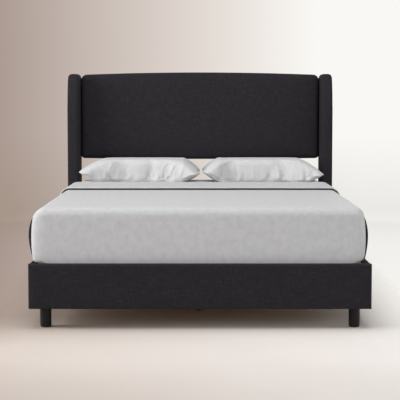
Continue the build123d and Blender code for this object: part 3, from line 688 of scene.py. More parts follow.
class BED_OT_headboard(Operator):
    """Upholster the headboard's panel and close its back with dust cloth"""

    bl_idname = "bed.headboard"
    bl_label = "Headboard"

    def execute(self, context):
        sizes = context.scene.bed_sizes
        swell = sizes.panel_swell
        back = panel_high.y
        side_band = 4 * MM

        def share(place):
            """Nothing at the back, and the whole swell from 80 mm in front of it."""
            near = smoothstep(back - 2 * MM, back - 60 * MM, place.y)
            far = smoothstep(back - 40 * MM, back - 80 * MM, place.y)
            return 0.55 * near + 0.45 * far

        def keep_in(vert):
            """Flat against the wings."""
            if abs(vert.co.x) > panel_high.x - side_band:
                vert.co.x = panel_high.x if vert.co.x > 0 else panel_low.x

        form = panel_form(0, 0.5 * MM, panel_low.y + swell, back, PANEL_ROLL - swell / 2)
        form = swell_pad(form, sizes.pad_voxel, swell, share, keep_in)
        pad = make_object("headboard_upholstery", form, 60)
        smooth_out(pad)
        dress(pad, "linen", "charcoal_linen", "bed_frame", "headboard_cover", "headboard_foam")
        self.dust_cloth()
        staples = make_object("dust_cloth_staples", self.staples(), 30)
        dress(staples, "steel", "zinc_steel", "bed_frame")
        return {"FINISHED"}

    def dust_cloth(self):
        """A thin cloth over the panel's back, hollow by about half a millimetre away from its edges."""
        low, high = back_cloth_low, back_cloth_high
        inset = panel_high.x - high.x
        back = panel_high.y
        form = panel_form(inset, inset, back - FABRIC, back - 0.2 * MM, 0)
        slice_form(form, 2, steps(low.z, high.z, 14))
        hollow, hollow_run = 0.6 * MM, 60 * MM
        for vert in form.verts:
            edge = min(high.x - abs(vert.co.x), vert.co.z - low.z, high.z - vert.co.z)
            vert.co.y -= hollow * smoothstep(0, hollow_run, edge) * (1 + noise.noise(vert.co * 9))
        lay_weave(form)
        cloth = make_object("headboard_dust_cloth", form)
        dress(cloth, "back_cloth", "back_cloth", "bed_frame", "headboard_back_cloth")

    def staples(self):
        """Staples along the edge of the dust cloth, 45 mm apart."""
        bm = bmesh.new()
        pitch, inset, long, thin = 45 * MM, 7 * MM, 10 * MM, 0.9 * MM
        half = back_cloth_high.x - inset
        middle_z = (back_cloth_low.z + back_cloth_high.z) / 2
        places = []
        for number in range(-16, 17):
            x = number * pitch
            fall = (x / panel_high.x) ** 2
            top = back_cloth_high.z - inset - PANEL_CROWN_RISE * fall
            bottom = back_cloth_low.z + inset + PANEL_BOTTOM_BOW * fall
            places += [(x, top, False), (x, bottom, False)]
        for number in range(-5, 6):
            z = middle_z + number * pitch
            places += [(half, z, True), (-half, z, True)]
        for x, z, upright in places:
            made = bmesh.ops.create_cube(bm, size=1)["verts"]
            bmesh.ops.scale(bm, vec=(thin, thin, long) if upright else (long, thin, thin), verts=made)
            bmesh.ops.translate(bm, vec=(x, back_cloth_high.y - thin / 2 + 0.1 * MM, z), verts=made)
        return bm


class BED_OT_wings(Operator):
    """Upholster the two wings"""

    bl_idname = "bed.wings"
    bl_label = "Wings"

    def execute(self, context):
        sizes = context.scene.bed_sizes
        skin_band = 3 * MM
        foot_run = 40 * MM

        def share(place):
            """Nothing at the foot, and the whole swell above it."""
            return smoothstep(wing_low.z, wing_low.z + foot_run, place.z)

        def keep_in(vert):
            """Flat against the panel and at the foot, nearly flat outside, lofted and rounded at the top."""
            pressed = smoothstep(panel_low.y - 10 * MM, panel_low.y + 20 * MM, vert.co.y)
            if vert.co.x < wing_low.x + skin_band:
                vert.co.x = vert.co.x * (1 - pressed) + wing_low.x * pressed
            vert.co.x = max(wing_low.x - WING_INNER_SWELL * (1 - pressed), vert.co.x)
            if vert.co.x > wing_high.x - skin_band:
                vert.co.x = wing_high.x + WING_OUTER_SWELL_SHARE * (vert.co.x - wing_high.x)
            vert.co.z += WING_TOP_LOFT * smoothstep(wing_high.z - WING_LOFT_RUN, wing_high.z, vert.co.z)
            inner = min(WING_INNER_ROUND, max(0, wing_low.x + WING_INNER_ROUND - vert.co.x))
            fall = WING_INNER_ROUND - sqrt(WING_INNER_ROUND ** 2 - inner ** 2)
            vert.co.z = min(vert.co.z, wing_high.z + WING_TOP_LOFT - fall)
            if vert.co.z < wing_low.z + 5 * MM:
                vert.co.z = wing_low.z - 0.4 * MM

        right = swell_pad(wing_form(1 * MM), 0.8 * sizes.pad_voxel, sizes.wing_swell, share, keep_in)
        for hand, form in {"right": right, "left": mirrored(right)}.items():
            lay_weave(form)
            pad = make_object(f"wing_upholstery_{hand}", form, 60)
            smooth_out(pad)
            dress(pad, "linen", "charcoal_linen", "bed_frame", f"wing_cover_{hand}", f"wing_foam_{hand}")
        return {"FINISHED"}


class BED_OT_rails(Operator):
    """Upholster the foot rail, the side rails and the head rail"""

    bl_idname = "bed.rails"
    bl_label = "Rails"

    def execute(self, context):
        low, high = foot_rail_low, foot_rail_high
        form = self.skin(low, high, 1, high.y, lambda edge: flat_at(edge, 1, low.y))
        slice_form(form, 0, steps(low.x, high.x, 48))
        self.crown(form, 1, low.y, -1, low, high)
        self.finish(form, "foot_rail_upholstery", "foot_rail_cover", "foot_rail_foam")

        low, high = side_rail_low, side_rail_high
        form = self.skin(low, high, 0, low.x, lambda edge: along(edge, 1) and flat_at(edge, 0, high.x))
        cut_ends(form, 1)
        slice_form(form, 1, steps(low.y, high.y, 56))
        self.crown(form, 0, high.x, 1, low, high)
        for hand, side in {"right": form, "left": mirrored(form)}.items():
            name, cover, foam = (f"side_rail_{part}_{hand}" for part in ("upholstery", "cover", "foam"))
            self.finish(side, name, cover, foam)

        low, high = head_rail_low, head_rail_high
        form = block(low, high)
        round_edges(form, [edge for edge in form.edges if along(edge, 0)], HEAD_RAIL_EDGE, 3)
        form.normal_update()
        cut_ends(form, 0)
        slice_form(form, 0, steps(low.x, high.x, 40))
        lay_weave(form)
        cloth = make_object("head_rail_fabric", form)
        thicken(cloth, FABRIC)
        dress(cloth, "linen", "charcoal_linen", "bed_frame", "head_rail_cover")
        return {"FINISHED"}

    def skin(self, low, high, inner_axis, inner_place, rounded):
        """A rail's fabric: a rounded block whose inner face is open between the fabric's two returns."""
        bm = block(low, high)
        round_edges(bm, [edge for edge in bm.edges if rounded(edge)], RAIL_EDGE, 4)
        open_low, open_high = low.z + RETURN_BOTTOM, high.z - RETURN_TOP
        slice_form(bm, 2, [open_low, (low.z + high.z) / 2, open_high] + steps(open_low, open_high, 5))
        bm.normal_update()
        inner = [
            face for face in bm.faces
            if abs(face.normal[inner_axis]) > 0.9
            and abs(face.calc_center_median()[inner_axis] - inner_place) < 1 * MM
            and open_low < face.calc_center_median().z < open_high
        ]
        bmesh.ops.delete(bm, geom=inner, context="FACES")
        return bm

    def crown(self, form, axis, place, way, low, high):
        """Let the padding press the show face out between its edges, by 1.6 mm and a little unevenly."""
        middle, half = (low.z + high.z) / 2, (high.z - low.z) / 2
        for vert in form.verts:
            if abs(vert.co[axis] - place) < 0.1 * MM:
                share = 1 - ((vert.co.z - middle) / half) ** 2
                puff = 1.6 + 0.5 * noise.noise(vert.co * 6) + 0.25 * noise.noise(vert.co * 19)
                vert.co[axis] += way * share * puff * MM

    def finish(self, form, name, *nodes):
        bmesh.ops.recalc_face_normals(form, faces=form.faces)
        lay_weave(form)
        pad = make_object(name, form)
        thicken(pad, FABRIC)
        dress(pad, "linen", "charcoal_linen", "bed_frame", *nodes)


def rounded_loop(share, low, high, inset, corner):
    """A point on a rectangle with rounded corners, at a share of the way round it."""
    half_x, half_y = (high.x - low.x) / 2 - inset, (high.y - low.y) / 2 - inset
    radius = max(corner - inset, 0.5 * MM)
    straight_x, straight_y = half_x - radius, half_y - radius
    arc = radius * pi / 2
    run = share % 1 * 4 * (straight_x + straight_y + arc)
    centre = Vector(((low.x + high.x) / 2, (low.y + high.y) / 2))
    side_x, side_y = 2 * straight_x, 2 * straight_y
    stretches = [straight_y, arc, side_x, arc, side_y, arc, side_x, arc, straight_y]
    number = 0
    while number < 8 and run > stretches[number]:
        run -= stretches[number]
        number += 1
    across, up = radius * cos(run / radius), radius * sin(run / radius)
    spots = [
        (half_x, run),
        (straight_x + across, straight_y + up),
        (straight_x - run, half_y),
        (-straight_x - up, straight_y + across),
        (-half_x, straight_y - run),
        (-straight_x - across, -straight_y - up),
        (-straight_x + run, -half_y),
        (straight_x + up, -straight_y - across),
        (half_x, -straight_y + run),
    ]
    return centre + Vector(spots[number])


def top_edge(edge, top):
    """A rounded top edge in 8 steps: how far in and how high each of its points lies."""
    return [(edge * (1 - cos(turn)), top - edge * (1 - sin(turn))) for turn in quarter(8)]


class BED_OT_mattress(Operator):
    """Make the mattress with its tape edge and stretch the fitted sheet over it"""

    bl_idname = "bed.mattress"
    bl_label = "Mattress"

    def execute(self, context):
        low, high = mattress_low, mattress_high
        columns = 280
        edge = MATTRESS_EDGE
        profile = [(edge * (1 - sin(turn)), low.z + edge * (1 - cos(turn))) for turn in quarter(8)]
        profile += [(0, place) for place in steps(low.z + edge, high.z - edge, 6)]
        profile += top_edge(edge, high.z)
        run = 2 * (high.x - low.x + high.y - low.y)

        def place(across, share):
            inset, z = profile[round(share * (len(profile) - 1))]
            return Vector((*rounded_loop(across, low, high, inset, MATTRESS_CORNER), z))

        form = surface(columns, len(profile) - 1, place, (run, high.z - low.z))
        bmesh.ops.holes_fill(form, edges=[edge for edge in form.edges if edge.is_boundary], sides=0)
        tapes = []
        for tape_z in (low.z + TAPE_FROM_EDGE, high.z - TAPE_FROM_EDGE):
            path = [Vector((*rounded_loop(number / columns, low, high, TAPE_INSET, MATTRESS_CORNER), tape_z))
                    for number in range(columns + 1)]
            tapes.append(tube(path, lambda share: TAPE_RADIUS, Vector((0, 0, 1)), 8))
        join_into(form, *tapes)
        bmesh.ops.recalc_face_normals(form, faces=form.faces)
        pad = make_object("mattress_ticking", form)
        dress(pad, "ticking", "mattress_ticking", "mattress", "mattress")
        self.fitted_sheet()
        return {"FINISHED"}

    def fitted_sheet(self):
        """A jersey sheet over the mattress, gathered at its elastic hem and most at its corners."""
        low, high = sheet_low, sheet_high
        corner = MATTRESS_CORNER + FABRIC
        edge = MATTRESS_EDGE + FABRIC
        columns = 560
        gather_height, corner_run = 70 * MM, (300 * MM, 50 * MM)
        profile = [(0, place) for place in [low.z] + steps(low.z, high.z - edge, 12)] + top_edge(edge, high.z)
        profile += [(edge + inset * MM, high.z) for inset in (20, 60, 120, 220, 360)]
        run = 2 * (high.x - low.x + high.y - low.y)
        weave_up = 0.9

        def place(across, share):
            inset, z = profile[round(share * (len(profile) - 1))]
            spot = Vector(rounded_loop(across, low, high, inset, corner))
            outward = (spot - Vector(rounded_loop(across, low, high, inset + 10 * MM, corner))).normalized()
            near_corner = smoothstep(*corner_run, high.x - abs(spot.x))
            near_corner *= smoothstep(*corner_run, high.y - abs(spot.y))
            gather = (1 - smoothstep(low.z, low.z + gather_height, z)) * (0.8 + 2.2 * near_corner) * MM
            wave = noise.noise(Vector((across * run * 22, z * 9, 3.0))) + 0.9
            return Vector((*spot, z)) + Vector((*outward, 0)) * gather * wave

        form = surface(columns, len(profile) - 1, place, (run, weave_up))
        rim = [edge for edge in form.edges if edge.is_boundary and edge.verts[0].co.z > high.z - 1 * MM]
        bmesh.ops.holes_fill(form, edges=rim, sides=0)
        bmesh.ops.recalc_face_normals(form, faces=form.faces)
        sheet = make_object("jersey_sheet", form)
        thicken(sheet, SHEET_THICKNESS)
        dress(sheet, "sheet", "sheet_cotton", "mattress", "fitted_sheet")


# The coverlet's cross-section, in columns from its middle: the flat top, the shoulder's arc and the drop
flat_columns, arc_columns, drop_columns = 76, 13, 22
half_columns = flat_columns + arc_columns + drop_columns
arc_step = 5
shoulder_x = mattress_high.x - SHOULDER_SETBACK
shoulder_z = mattress_high.z - SHOULDER_SETBACK
coverlet_top = coverlet_high.z - FOLD_THICKNESS
shoulder_radius = coverlet_top - shoulder_z
hem_z = coverlet_low.z + COVERLET_TUCK
split_y = coverlet_low.y + FOOT_PANEL_WRAP
fold_hem_y = coverlet_high.y - FOLD_LENGTH
foot_hem_x = side_rail_low.x + FOOT_PANEL_OVERHANG
side_hem_x = side_rail_low.x + SIDE_DROP_OVERHANG


def drape_point(column, grow):
    """A point across the drape, on either side of its middle, that far proud of it: x and z."""
    number = abs(column)
    radius = shoulder_radius + grow
    start_column = flat_columns + (90 - SIDE_DROP_LEAN) // arc_step
    if number <= flat_columns:
        x, z = shoulder_x * number / flat_columns, shoulder_z + radius
    elif number < start_column:
        turn = radians(90 - arc_step * (number - flat_columns))
        x, z = shoulder_x + radius * cos(turn), shoulder_z + radius * sin(turn)
    else:
        share = (number - start_column) / (half_columns - start_column)
        x, z = drop_point(share, SIDE_DROP_LEAN, side_hem_x, grow)
    return (x if column >= 0 else -x), z


def drop_point(share, lean, hem_x, grow):
    """A point on the bowed drop: a curve that leaves the shoulder at its lean and ends on the hem."""
    radius = shoulder_radius + grow
    tilt = radians(lean)
    start = Vector((shoulder_x + radius * cos(tilt), shoulder_z + radius * sin(tilt)))
    end = Vector((hem_x + grow, hem_z))
    way = Vector((sin(tilt), -cos(tilt)))
    chord = end - start
    angle = acos(min(1, way.dot(chord.normalized())))
    bend = start + way * chord.length / 2 / cos(angle)
    return (1 - share) ** 2 * start + 2 * share * (1 - share) * bend + share ** 2 * end


def rippled(place):
    """A point of the coverlet with its soft ripples, the waves of its drops and their swing back inwards."""
    sizes = bpy.context.scene.bed_sizes
    x, y, z = place
    low = 0.5 + 0.5 * noise.noise(Vector((x * 3.2, y * 2.4, z * 3.0)))
    fine = 0.5 + 0.5 * noise.noise(Vector((x * 13, y * 13, z * 13)) + Vector((7, 3, 1)))
    lift = sizes.coverlet_ripple * (0.7 * low + 0.3 * fine)
    hang = smoothstep(shoulder_z, hem_z, z)
    on_side = smoothstep(shoulder_x + 0.2 * shoulder_radius, shoulder_x + 0.8 * shoulder_radius, abs(x))
    on_foot = 1 - smoothstep(split_y - 45 * MM, split_y - 10 * MM, y)
    on_top = (1 - on_side) * (1 - on_foot)
    moved = Vector(place)
    moved.z += lift * max(on_top, 0.3 * (1 - hang))
    wave = noise.noise(Vector((y * 5.5, x * 2, 0.4))) + 0.4 * noise.noise(Vector((y * 15, x * 2, 2.4)))
    side = 1 if x > 0 else -1
    swing = sizes.drop_return * (hang if side > 0 else 1.2 * hang ** 1.5)
    moved.x += side * on_side * (lift * 0.4 + (1 - on_foot) * (hang * sizes.drop_wave * wave - swing))
    if side < 0:
        reach = 1 - smoothstep(split_y, split_y + 1.0, y)
        hangs = smoothstep(coverlet_top, shoulder_z - 10 * MM, z)
        moved.x -= sizes.foot_corner_slack * reach * on_side * hangs
    moved.y -= on_foot * lift * 0.8 * (1 - 0.5 * hang)
    return moved


class BED_OT_coverlet(Operator):
    """Drape the coverlet, fold its head end back and pipe its hems"""

    bl_idname = "bed.coverlet"
    bl_label = "Coverlet"

    def execute(self, context):
        sizes = context.scene.bed_sizes
        main_rows, turn_rows, band_rows = 110, 6, 34
        rows = main_rows + turn_rows + band_rows
        fold = FOLD_THICKNESS / 2
        fold_y = coverlet_high.y - fold

        def along_bed(row):
            """How far down the bed and how far proud of the lower layer a row of the cloth lies."""
            if row <= main_rows:
                return split_y + (fold_y - split_y) * row / main_rows, 0.0
            if row <= main_rows + turn_rows:
                turn = pi * (row - main_rows) / turn_rows
                return fold_y + fold * sin(turn), fold - fold * cos(turn)
            share = (row - main_rows - turn_rows) / band_rows
            return fold_y + (fold_hem_y - fold_y) * share, FOLD_THICKNESS

        def main_place(across, share):
            y, grow = along_bed(round(share * rows))
            x, z = drape_point(round((2 * across - 1) * half_columns), grow)
            return Vector((x, y, z))

        width = 2 * (shoulder_x + radians(90 - SIDE_DROP_LEAN) * shoulder_radius + SIDE_DROP_LENGTH)
        weave_along = 1.95
        main = surface(2 * half_columns, rows, main_place, (width, weave_along))
        form = join_into(main, self.foot_panel())
        for vert in form.verts:
            vert.co = rippled(vert.co)
        bmesh.ops.recalc_face_normals(form, faces=form.faces)
        cloth_area = sum(face.calc_area() for face in form.faces)
        coverlet = make_object("sateen_coverlet", form, 80)
        thicken(coverlet, sizes.coverlet_thickness)
        dress(coverlet, "sateen", "coverlet_cotton", "mattress", "coverlet")
        piping = make_object("coverlet_piping_cord", self.piping(sizes), 80)
        dress(piping, "piping", "charcoal_piping", "mattress", "coverlet_piping")
        return {"FINISHED"}

    def foot_panel(self):
        """The coverlet's foot end: down over the foot of the mattress and wrapped round its two corners."""
        radius = shoulder_radius
        corner_columns, side_columns, front_columns = 10, 4, flat_columns
        columns = front_columns + corner_columns + side_columns
        top_rows, arc_rows, drop_rows, tuck_rows = 3, 16, 20, 2
        rows = top_rows + arc_rows + drop_rows + tuck_rows
        edge_y = coverlet_low.y + radius
        straight_z = shoulder_z + radius * sin(radians(FOOT_PANEL_LEAN))

        def path(column):
            """Where a column starts in plan, its outward way and how much of it belongs to the side."""
            if column <= front_columns:
                return Vector((shoulder_x * column / front_columns, edge_y)), Vector((0, -1)), 0.0
            if column <= front_columns + corner_columns:
                turn = pi / 2 * (column - front_columns) / corner_columns
                return Vector((shoulder_x, edge_y)), Vector((sin(turn), -cos(turn))), sin(turn) ** 2
            share = (column - front_columns - corner_columns) / side_columns
            return Vector((shoulder_x, edge_y + (split_y - edge_y) * share)), Vector((1, 0)), 1.0

        def drop(column, step, base, way, side):
            """How far out and how high the panel is below its arc, down to its hem and the tuck behind it."""
            down = min((step - arc_rows) / drop_rows, 1)
            bowed_out, bowed_z = self.bowed(down)
            out = radius * (1 - side) + bowed_out * side
            z = (straight_z + (hem_z - straight_z) * down) * (1 - side) + bowed_z * side
            z += self.hem_round(base.x + way.x * out, 1 if column > 0 else LEFT_HEM_SHARE) * down ** 2
            if step > arc_rows + drop_rows:
                tucked = 1 - smoothstep(front_columns - 6, front_columns + 1, abs(column))
                z -= COVERLET_TUCK * (step - arc_rows - drop_rows) / tuck_rows * tucked
            return out, z

        def place(across, share):
            column = round((2 * across - 1) * columns)
            step = round(share * rows) - top_rows
            base, way, side = path(abs(column))
            if step < 0:
                y = split_y + (base.y - split_y) * (step + top_rows) / top_rows
                spot = Vector((base.x, y if abs(column) <= front_columns else base.y, coverlet_top))
            else:
                turn = radians(90 - arc_step * step)
                if step > arc_rows:
                    out, z = drop(column, step, base, way, side)
                elif side and turn < radians(FOOT_PANEL_LEAN) - 0.001:
                    out, z = self.bowed(0.0)
                else:
                    out, z = radius * cos(turn), shoulder_z + radius * sin(turn)
                spot = Vector((base.x + way.x * out, base.y + way.y * out, z))
            if column < 0:
                spot.x = -spot.x
            return spot

        wrap_run, weave_down = 90 * MM, 320 * MM
        return surface(2 * columns, rows, place, (2 * (shoulder_x + wrap_run), weave_down))

    def hem_round(self, x, share_of_right):
        """How far the foot panel's hem rises towards its rounded lower corner. The left one is tighter."""
        radius = bpy.context.scene.bed_sizes.foot_hem_round * share_of_right
        share = min(1, max(0, (x - foot_hem_x + radius) / radius))
        return radius * (1 - sqrt(1 - 0.98 * share ** 2))

    def bowed(self, share):
        """How far out of the shoulder's centre, and how high, the foot panel's side is."""
        x, z = drop_point(share, FOOT_PANEL_LEAN, foot_hem_x, 0.0)
        return x - shoulder_x, z

    def piping(self, sizes):
        """Piping along the folded band's hem and down the front edges of the side drops."""
        thin, radius = sizes.band_piping_radius, sizes.piping_radius
        lift = thin + FIT_GAP
        y = fold_hem_y - lift
        path = []
        for column in range(-half_columns, half_columns + 1):
            x, z = drape_point(column, lift)
            path.append(rippled(Vector((x, y, z))))
        form = tube(path, lambda share: thin if 0 < share < 1 else 0.0, Vector((0, 1, 0)))
        others = []
        start_share, spots, inwards = 0.08, 24, 3.5 * MM
        for side in (1, -1):
            path = []
            for number in range(spots + 1):
                share = start_share + (1 - start_share) * number / spots
                x, z = drop_point(share, SIDE_DROP_LEAN, side_hem_x, -inwards)
                path.append(rippled(Vector((side * x, split_y, z))) - Vector((0, radius + FIT_GAP, 0)))
            others.append(tube(path, lambda share: 1.2 * radius * sin(pi * share) ** 0.3, Vector((0, 1, 0))))
        return join_into(form, *others)


class BED_OT_pillows(Operator):
    """Fill the two pillow cases and lay them on the sheet"""

    bl_idname = "bed.pillows"
    bl_label = "Pillows"

    def execute(self, context):
        sizes = context.scene.bed_sizes
        low, high = pillow_low, pillow_high
        width, depth = high.x - low.x, high.y - low.y
        for number, (hand, lay) in enumerate(PILLOW_LAY.items()):
            form = self.sewn_case(sizes, number, width, depth)
            form = self.filled(form, sizes, width, depth)
            self.lay_down(form, number, lay, width, depth)
            if hand == "left":
                form = mirrored(form)
            bmesh.ops.translate(form, vec=(lay["aside"] * MM, 0, 0), verts=form.verts)
            pillow = make_object(f"percale_pillow_{hand}", form, 80)
            smooth_out(pillow)
            dress(pillow, "pillow", "pillow_cotton", f"pillow_{hand}", f"pillow_{hand}")
        return {"FINISHED"}

    def sewn_case(self, sizes, number, width, depth):
        """A flat case with drawn-in corners, sewn from two layers that start a little apart."""
        columns, rows = ceil(width / sizes.pillow_cell), ceil(depth / sizes.pillow_cell)
        start_height, crumple_height = 14 * MM, 4 * MM

        def layer(side):
            def place(across, share):
                full_x = 1 - 0.14 * abs(2 * share - 1) ** 2.5
                full_y = 1 - 0.050 * abs(2 * across - 1) ** 4
                x, y = (across - 0.5) * width * full_x, (share - 0.5) * depth * full_y
                bulge = (sin(pi * across) * sin(pi * share)) ** 0.6
                crumple = noise.noise(Vector((x * 9, y * 9, 5.0 * number + side))) * crumple_height
                return Vector((x, y, side * bulge * (start_height + crumple)))

            return surface(columns, rows, place, (width, depth))

        form = join_into(layer(1), layer(-1))
        bmesh.ops.recalc_face_normals(form, faces=form.faces)
        return form

    def filled(self, form, sizes, width, depth):
        form, ends = fill_cloth(form, sizes.pillow_pressure, frames=30, tension=12.0)
        for vert, end in zip(form.verts, ends):
            vert.co = end
        for _ in range(16):
            inside = [vert for vert in form.verts if abs(vert.co.z) > 6 * MM]
            bmesh.ops.smooth_vert(form, verts=inside, factor=0.5, use_axis_x=True, use_axis_y=True,
                                  use_axis_z=True)
        return form

    def lay_down(self, form, number, lay, width, depth):
        """Set a filled case into its solid's space: its front sags, its tips lift and its front creases."""
        low, high = pillow_low, pillow_high
        middle = (low + high) / 2
        reach = [max(abs(vert.co[axis]) for vert in form.verts) for axis in range(3)]
        bed_z, seam_z = low.z, mattress_high.z + PILLOW_SEAM_HEIGHT
        rest_height, rest_run, rest_gap = 4 * MM, 8 * MM, 0.2 * MM
        for vert in form.verts:
            x = vert.co.x / reach[0] * width / 2
            y = vert.co.y / reach[1] * depth / 2
            up = vert.co.z / reach[2]
            outer = x > 0
            end = width / 2 - abs(x)
            ahead = y / depth * 2
            rise = (1 - (1 - up) ** 3) * (high.z - seam_z) if up > 0 else up * PILLOW_BELLY
            if rise > 0:
                rise *= 1 - 0.75 * max(0, 1 - end / PILLOW_END_RUNS[outer]) ** 1.2
            sag = PILLOW_SAG * smoothstep(-0.4, -1, ahead) * smoothstep(40 * MM, 200 * MM, end)
            tip = lay["tips"][outer] * MM * smoothstep(PILLOW_TIP_RUN, 0, end)
            z = seam_z + rise + tip - sag * (1 - max(0, up))
            if z < bed_z + rest_height:
                squash = exp((z - bed_z - rest_height) / rest_run)
                z = bed_z + rest_gap + (rest_height - rest_gap) * squash
            vert.co = Vector((middle.x + x, middle.y + y, z))
            front = smoothstep(-0.1, -0.6, ahead) * smoothstep(0, 60 * MM, end)
            low_half = smoothstep(bed_z + 8 * MM, bed_z + 30 * MM, z)
            low_half *= smoothstep(high.z - 4 * MM, seam_z + 45 * MM, z)
            cluster = max(smoothstep(1.6 * half, 0.4 * half, abs(x / MM - centre))
                          for centre, half in lay["creases"])
            slant = x + 0.25 * (z - seam_z) ** 2 / 0.05
            crease = noise.noise(Vector((slant * 34, z * 6, 4.0 + 3 * number)))
            vert.co.y -= front * low_half * (0.15 + cluster) * PILLOW_CREASE * (abs(crease) - 0.15)
        bmesh.ops.recalc_face_normals(form, faces=form.faces)


class BED_OT_fittings(Operator):
    """Screw the slats down and give the wood, metal and nylon of the frame their finishes"""

    bl_idname = "bed.fittings"
    bl_label = "Frame and fittings"

    def execute(self, context):
        hands = ("left", "right")
        slats = [f"slat_{number:02d}" for number in range(1, 14)]
        finishes = {
            "pine_across": slats + ["corner_blocks", "headboard_frame"],
            "pine_along": ["centre_beam"] + [f"ledger_{hand}" for hand in hands],
            "pine_upright": ["centre_legs"],
            "plywood": ["foot_rail_board", "head_rail_board", "headboard_board"]
            + [f"{name}_{hand}" for name in ("side_rail_board", "wing_core") for hand in hands],
            "leg": [f"{place}_leg_{hand}" for place in ("front", "rear") for hand in hands],
            "steel": ["beam_hangers", "bracket_bolts", "corner_brackets", "hook_plates", "rail_hooks",
                      "wing_bolts", "leg_bolts", "leg_inserts"],
            "nylon": ["glides"],
        }
        for finish, nodes in finishes.items():
            for node in nodes:
                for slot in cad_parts[node].material_slots:
                    slot.material = material_of(finish)
        screws = make_object("slat_screws", self.screws(slats), 30)
        dress(screws, "steel", "zinc_steel", "bed_frame")
        return {"FINISHED"}

    def screws(self, slats):
        """Countersunk screws, two at each end of each slat, over the ledgers."""
        bm = bmesh.new()
        ledger_x = (ledger_low.x + ledger_high.x) / 2
        shank, head, deep, sunk = 2.6 * MM, 4 * MM, 1.2 * MM, 0.4 * MM
        for slat in slats:
            low, high = cad(slat)
            for side in (-1, 1):
                for share in (0.25, 0.75):
                    made = bmesh.ops.create_cone(bm, cap_ends=True, segments=12, radius1=shank, radius2=head,
                                                 depth=deep)["verts"]
                    y = low.y + share * (high.y - low.y)
                    bmesh.ops.translate(bm, vec=(side * ledger_x, y, high.z - sunk), verts=made)
        return bm


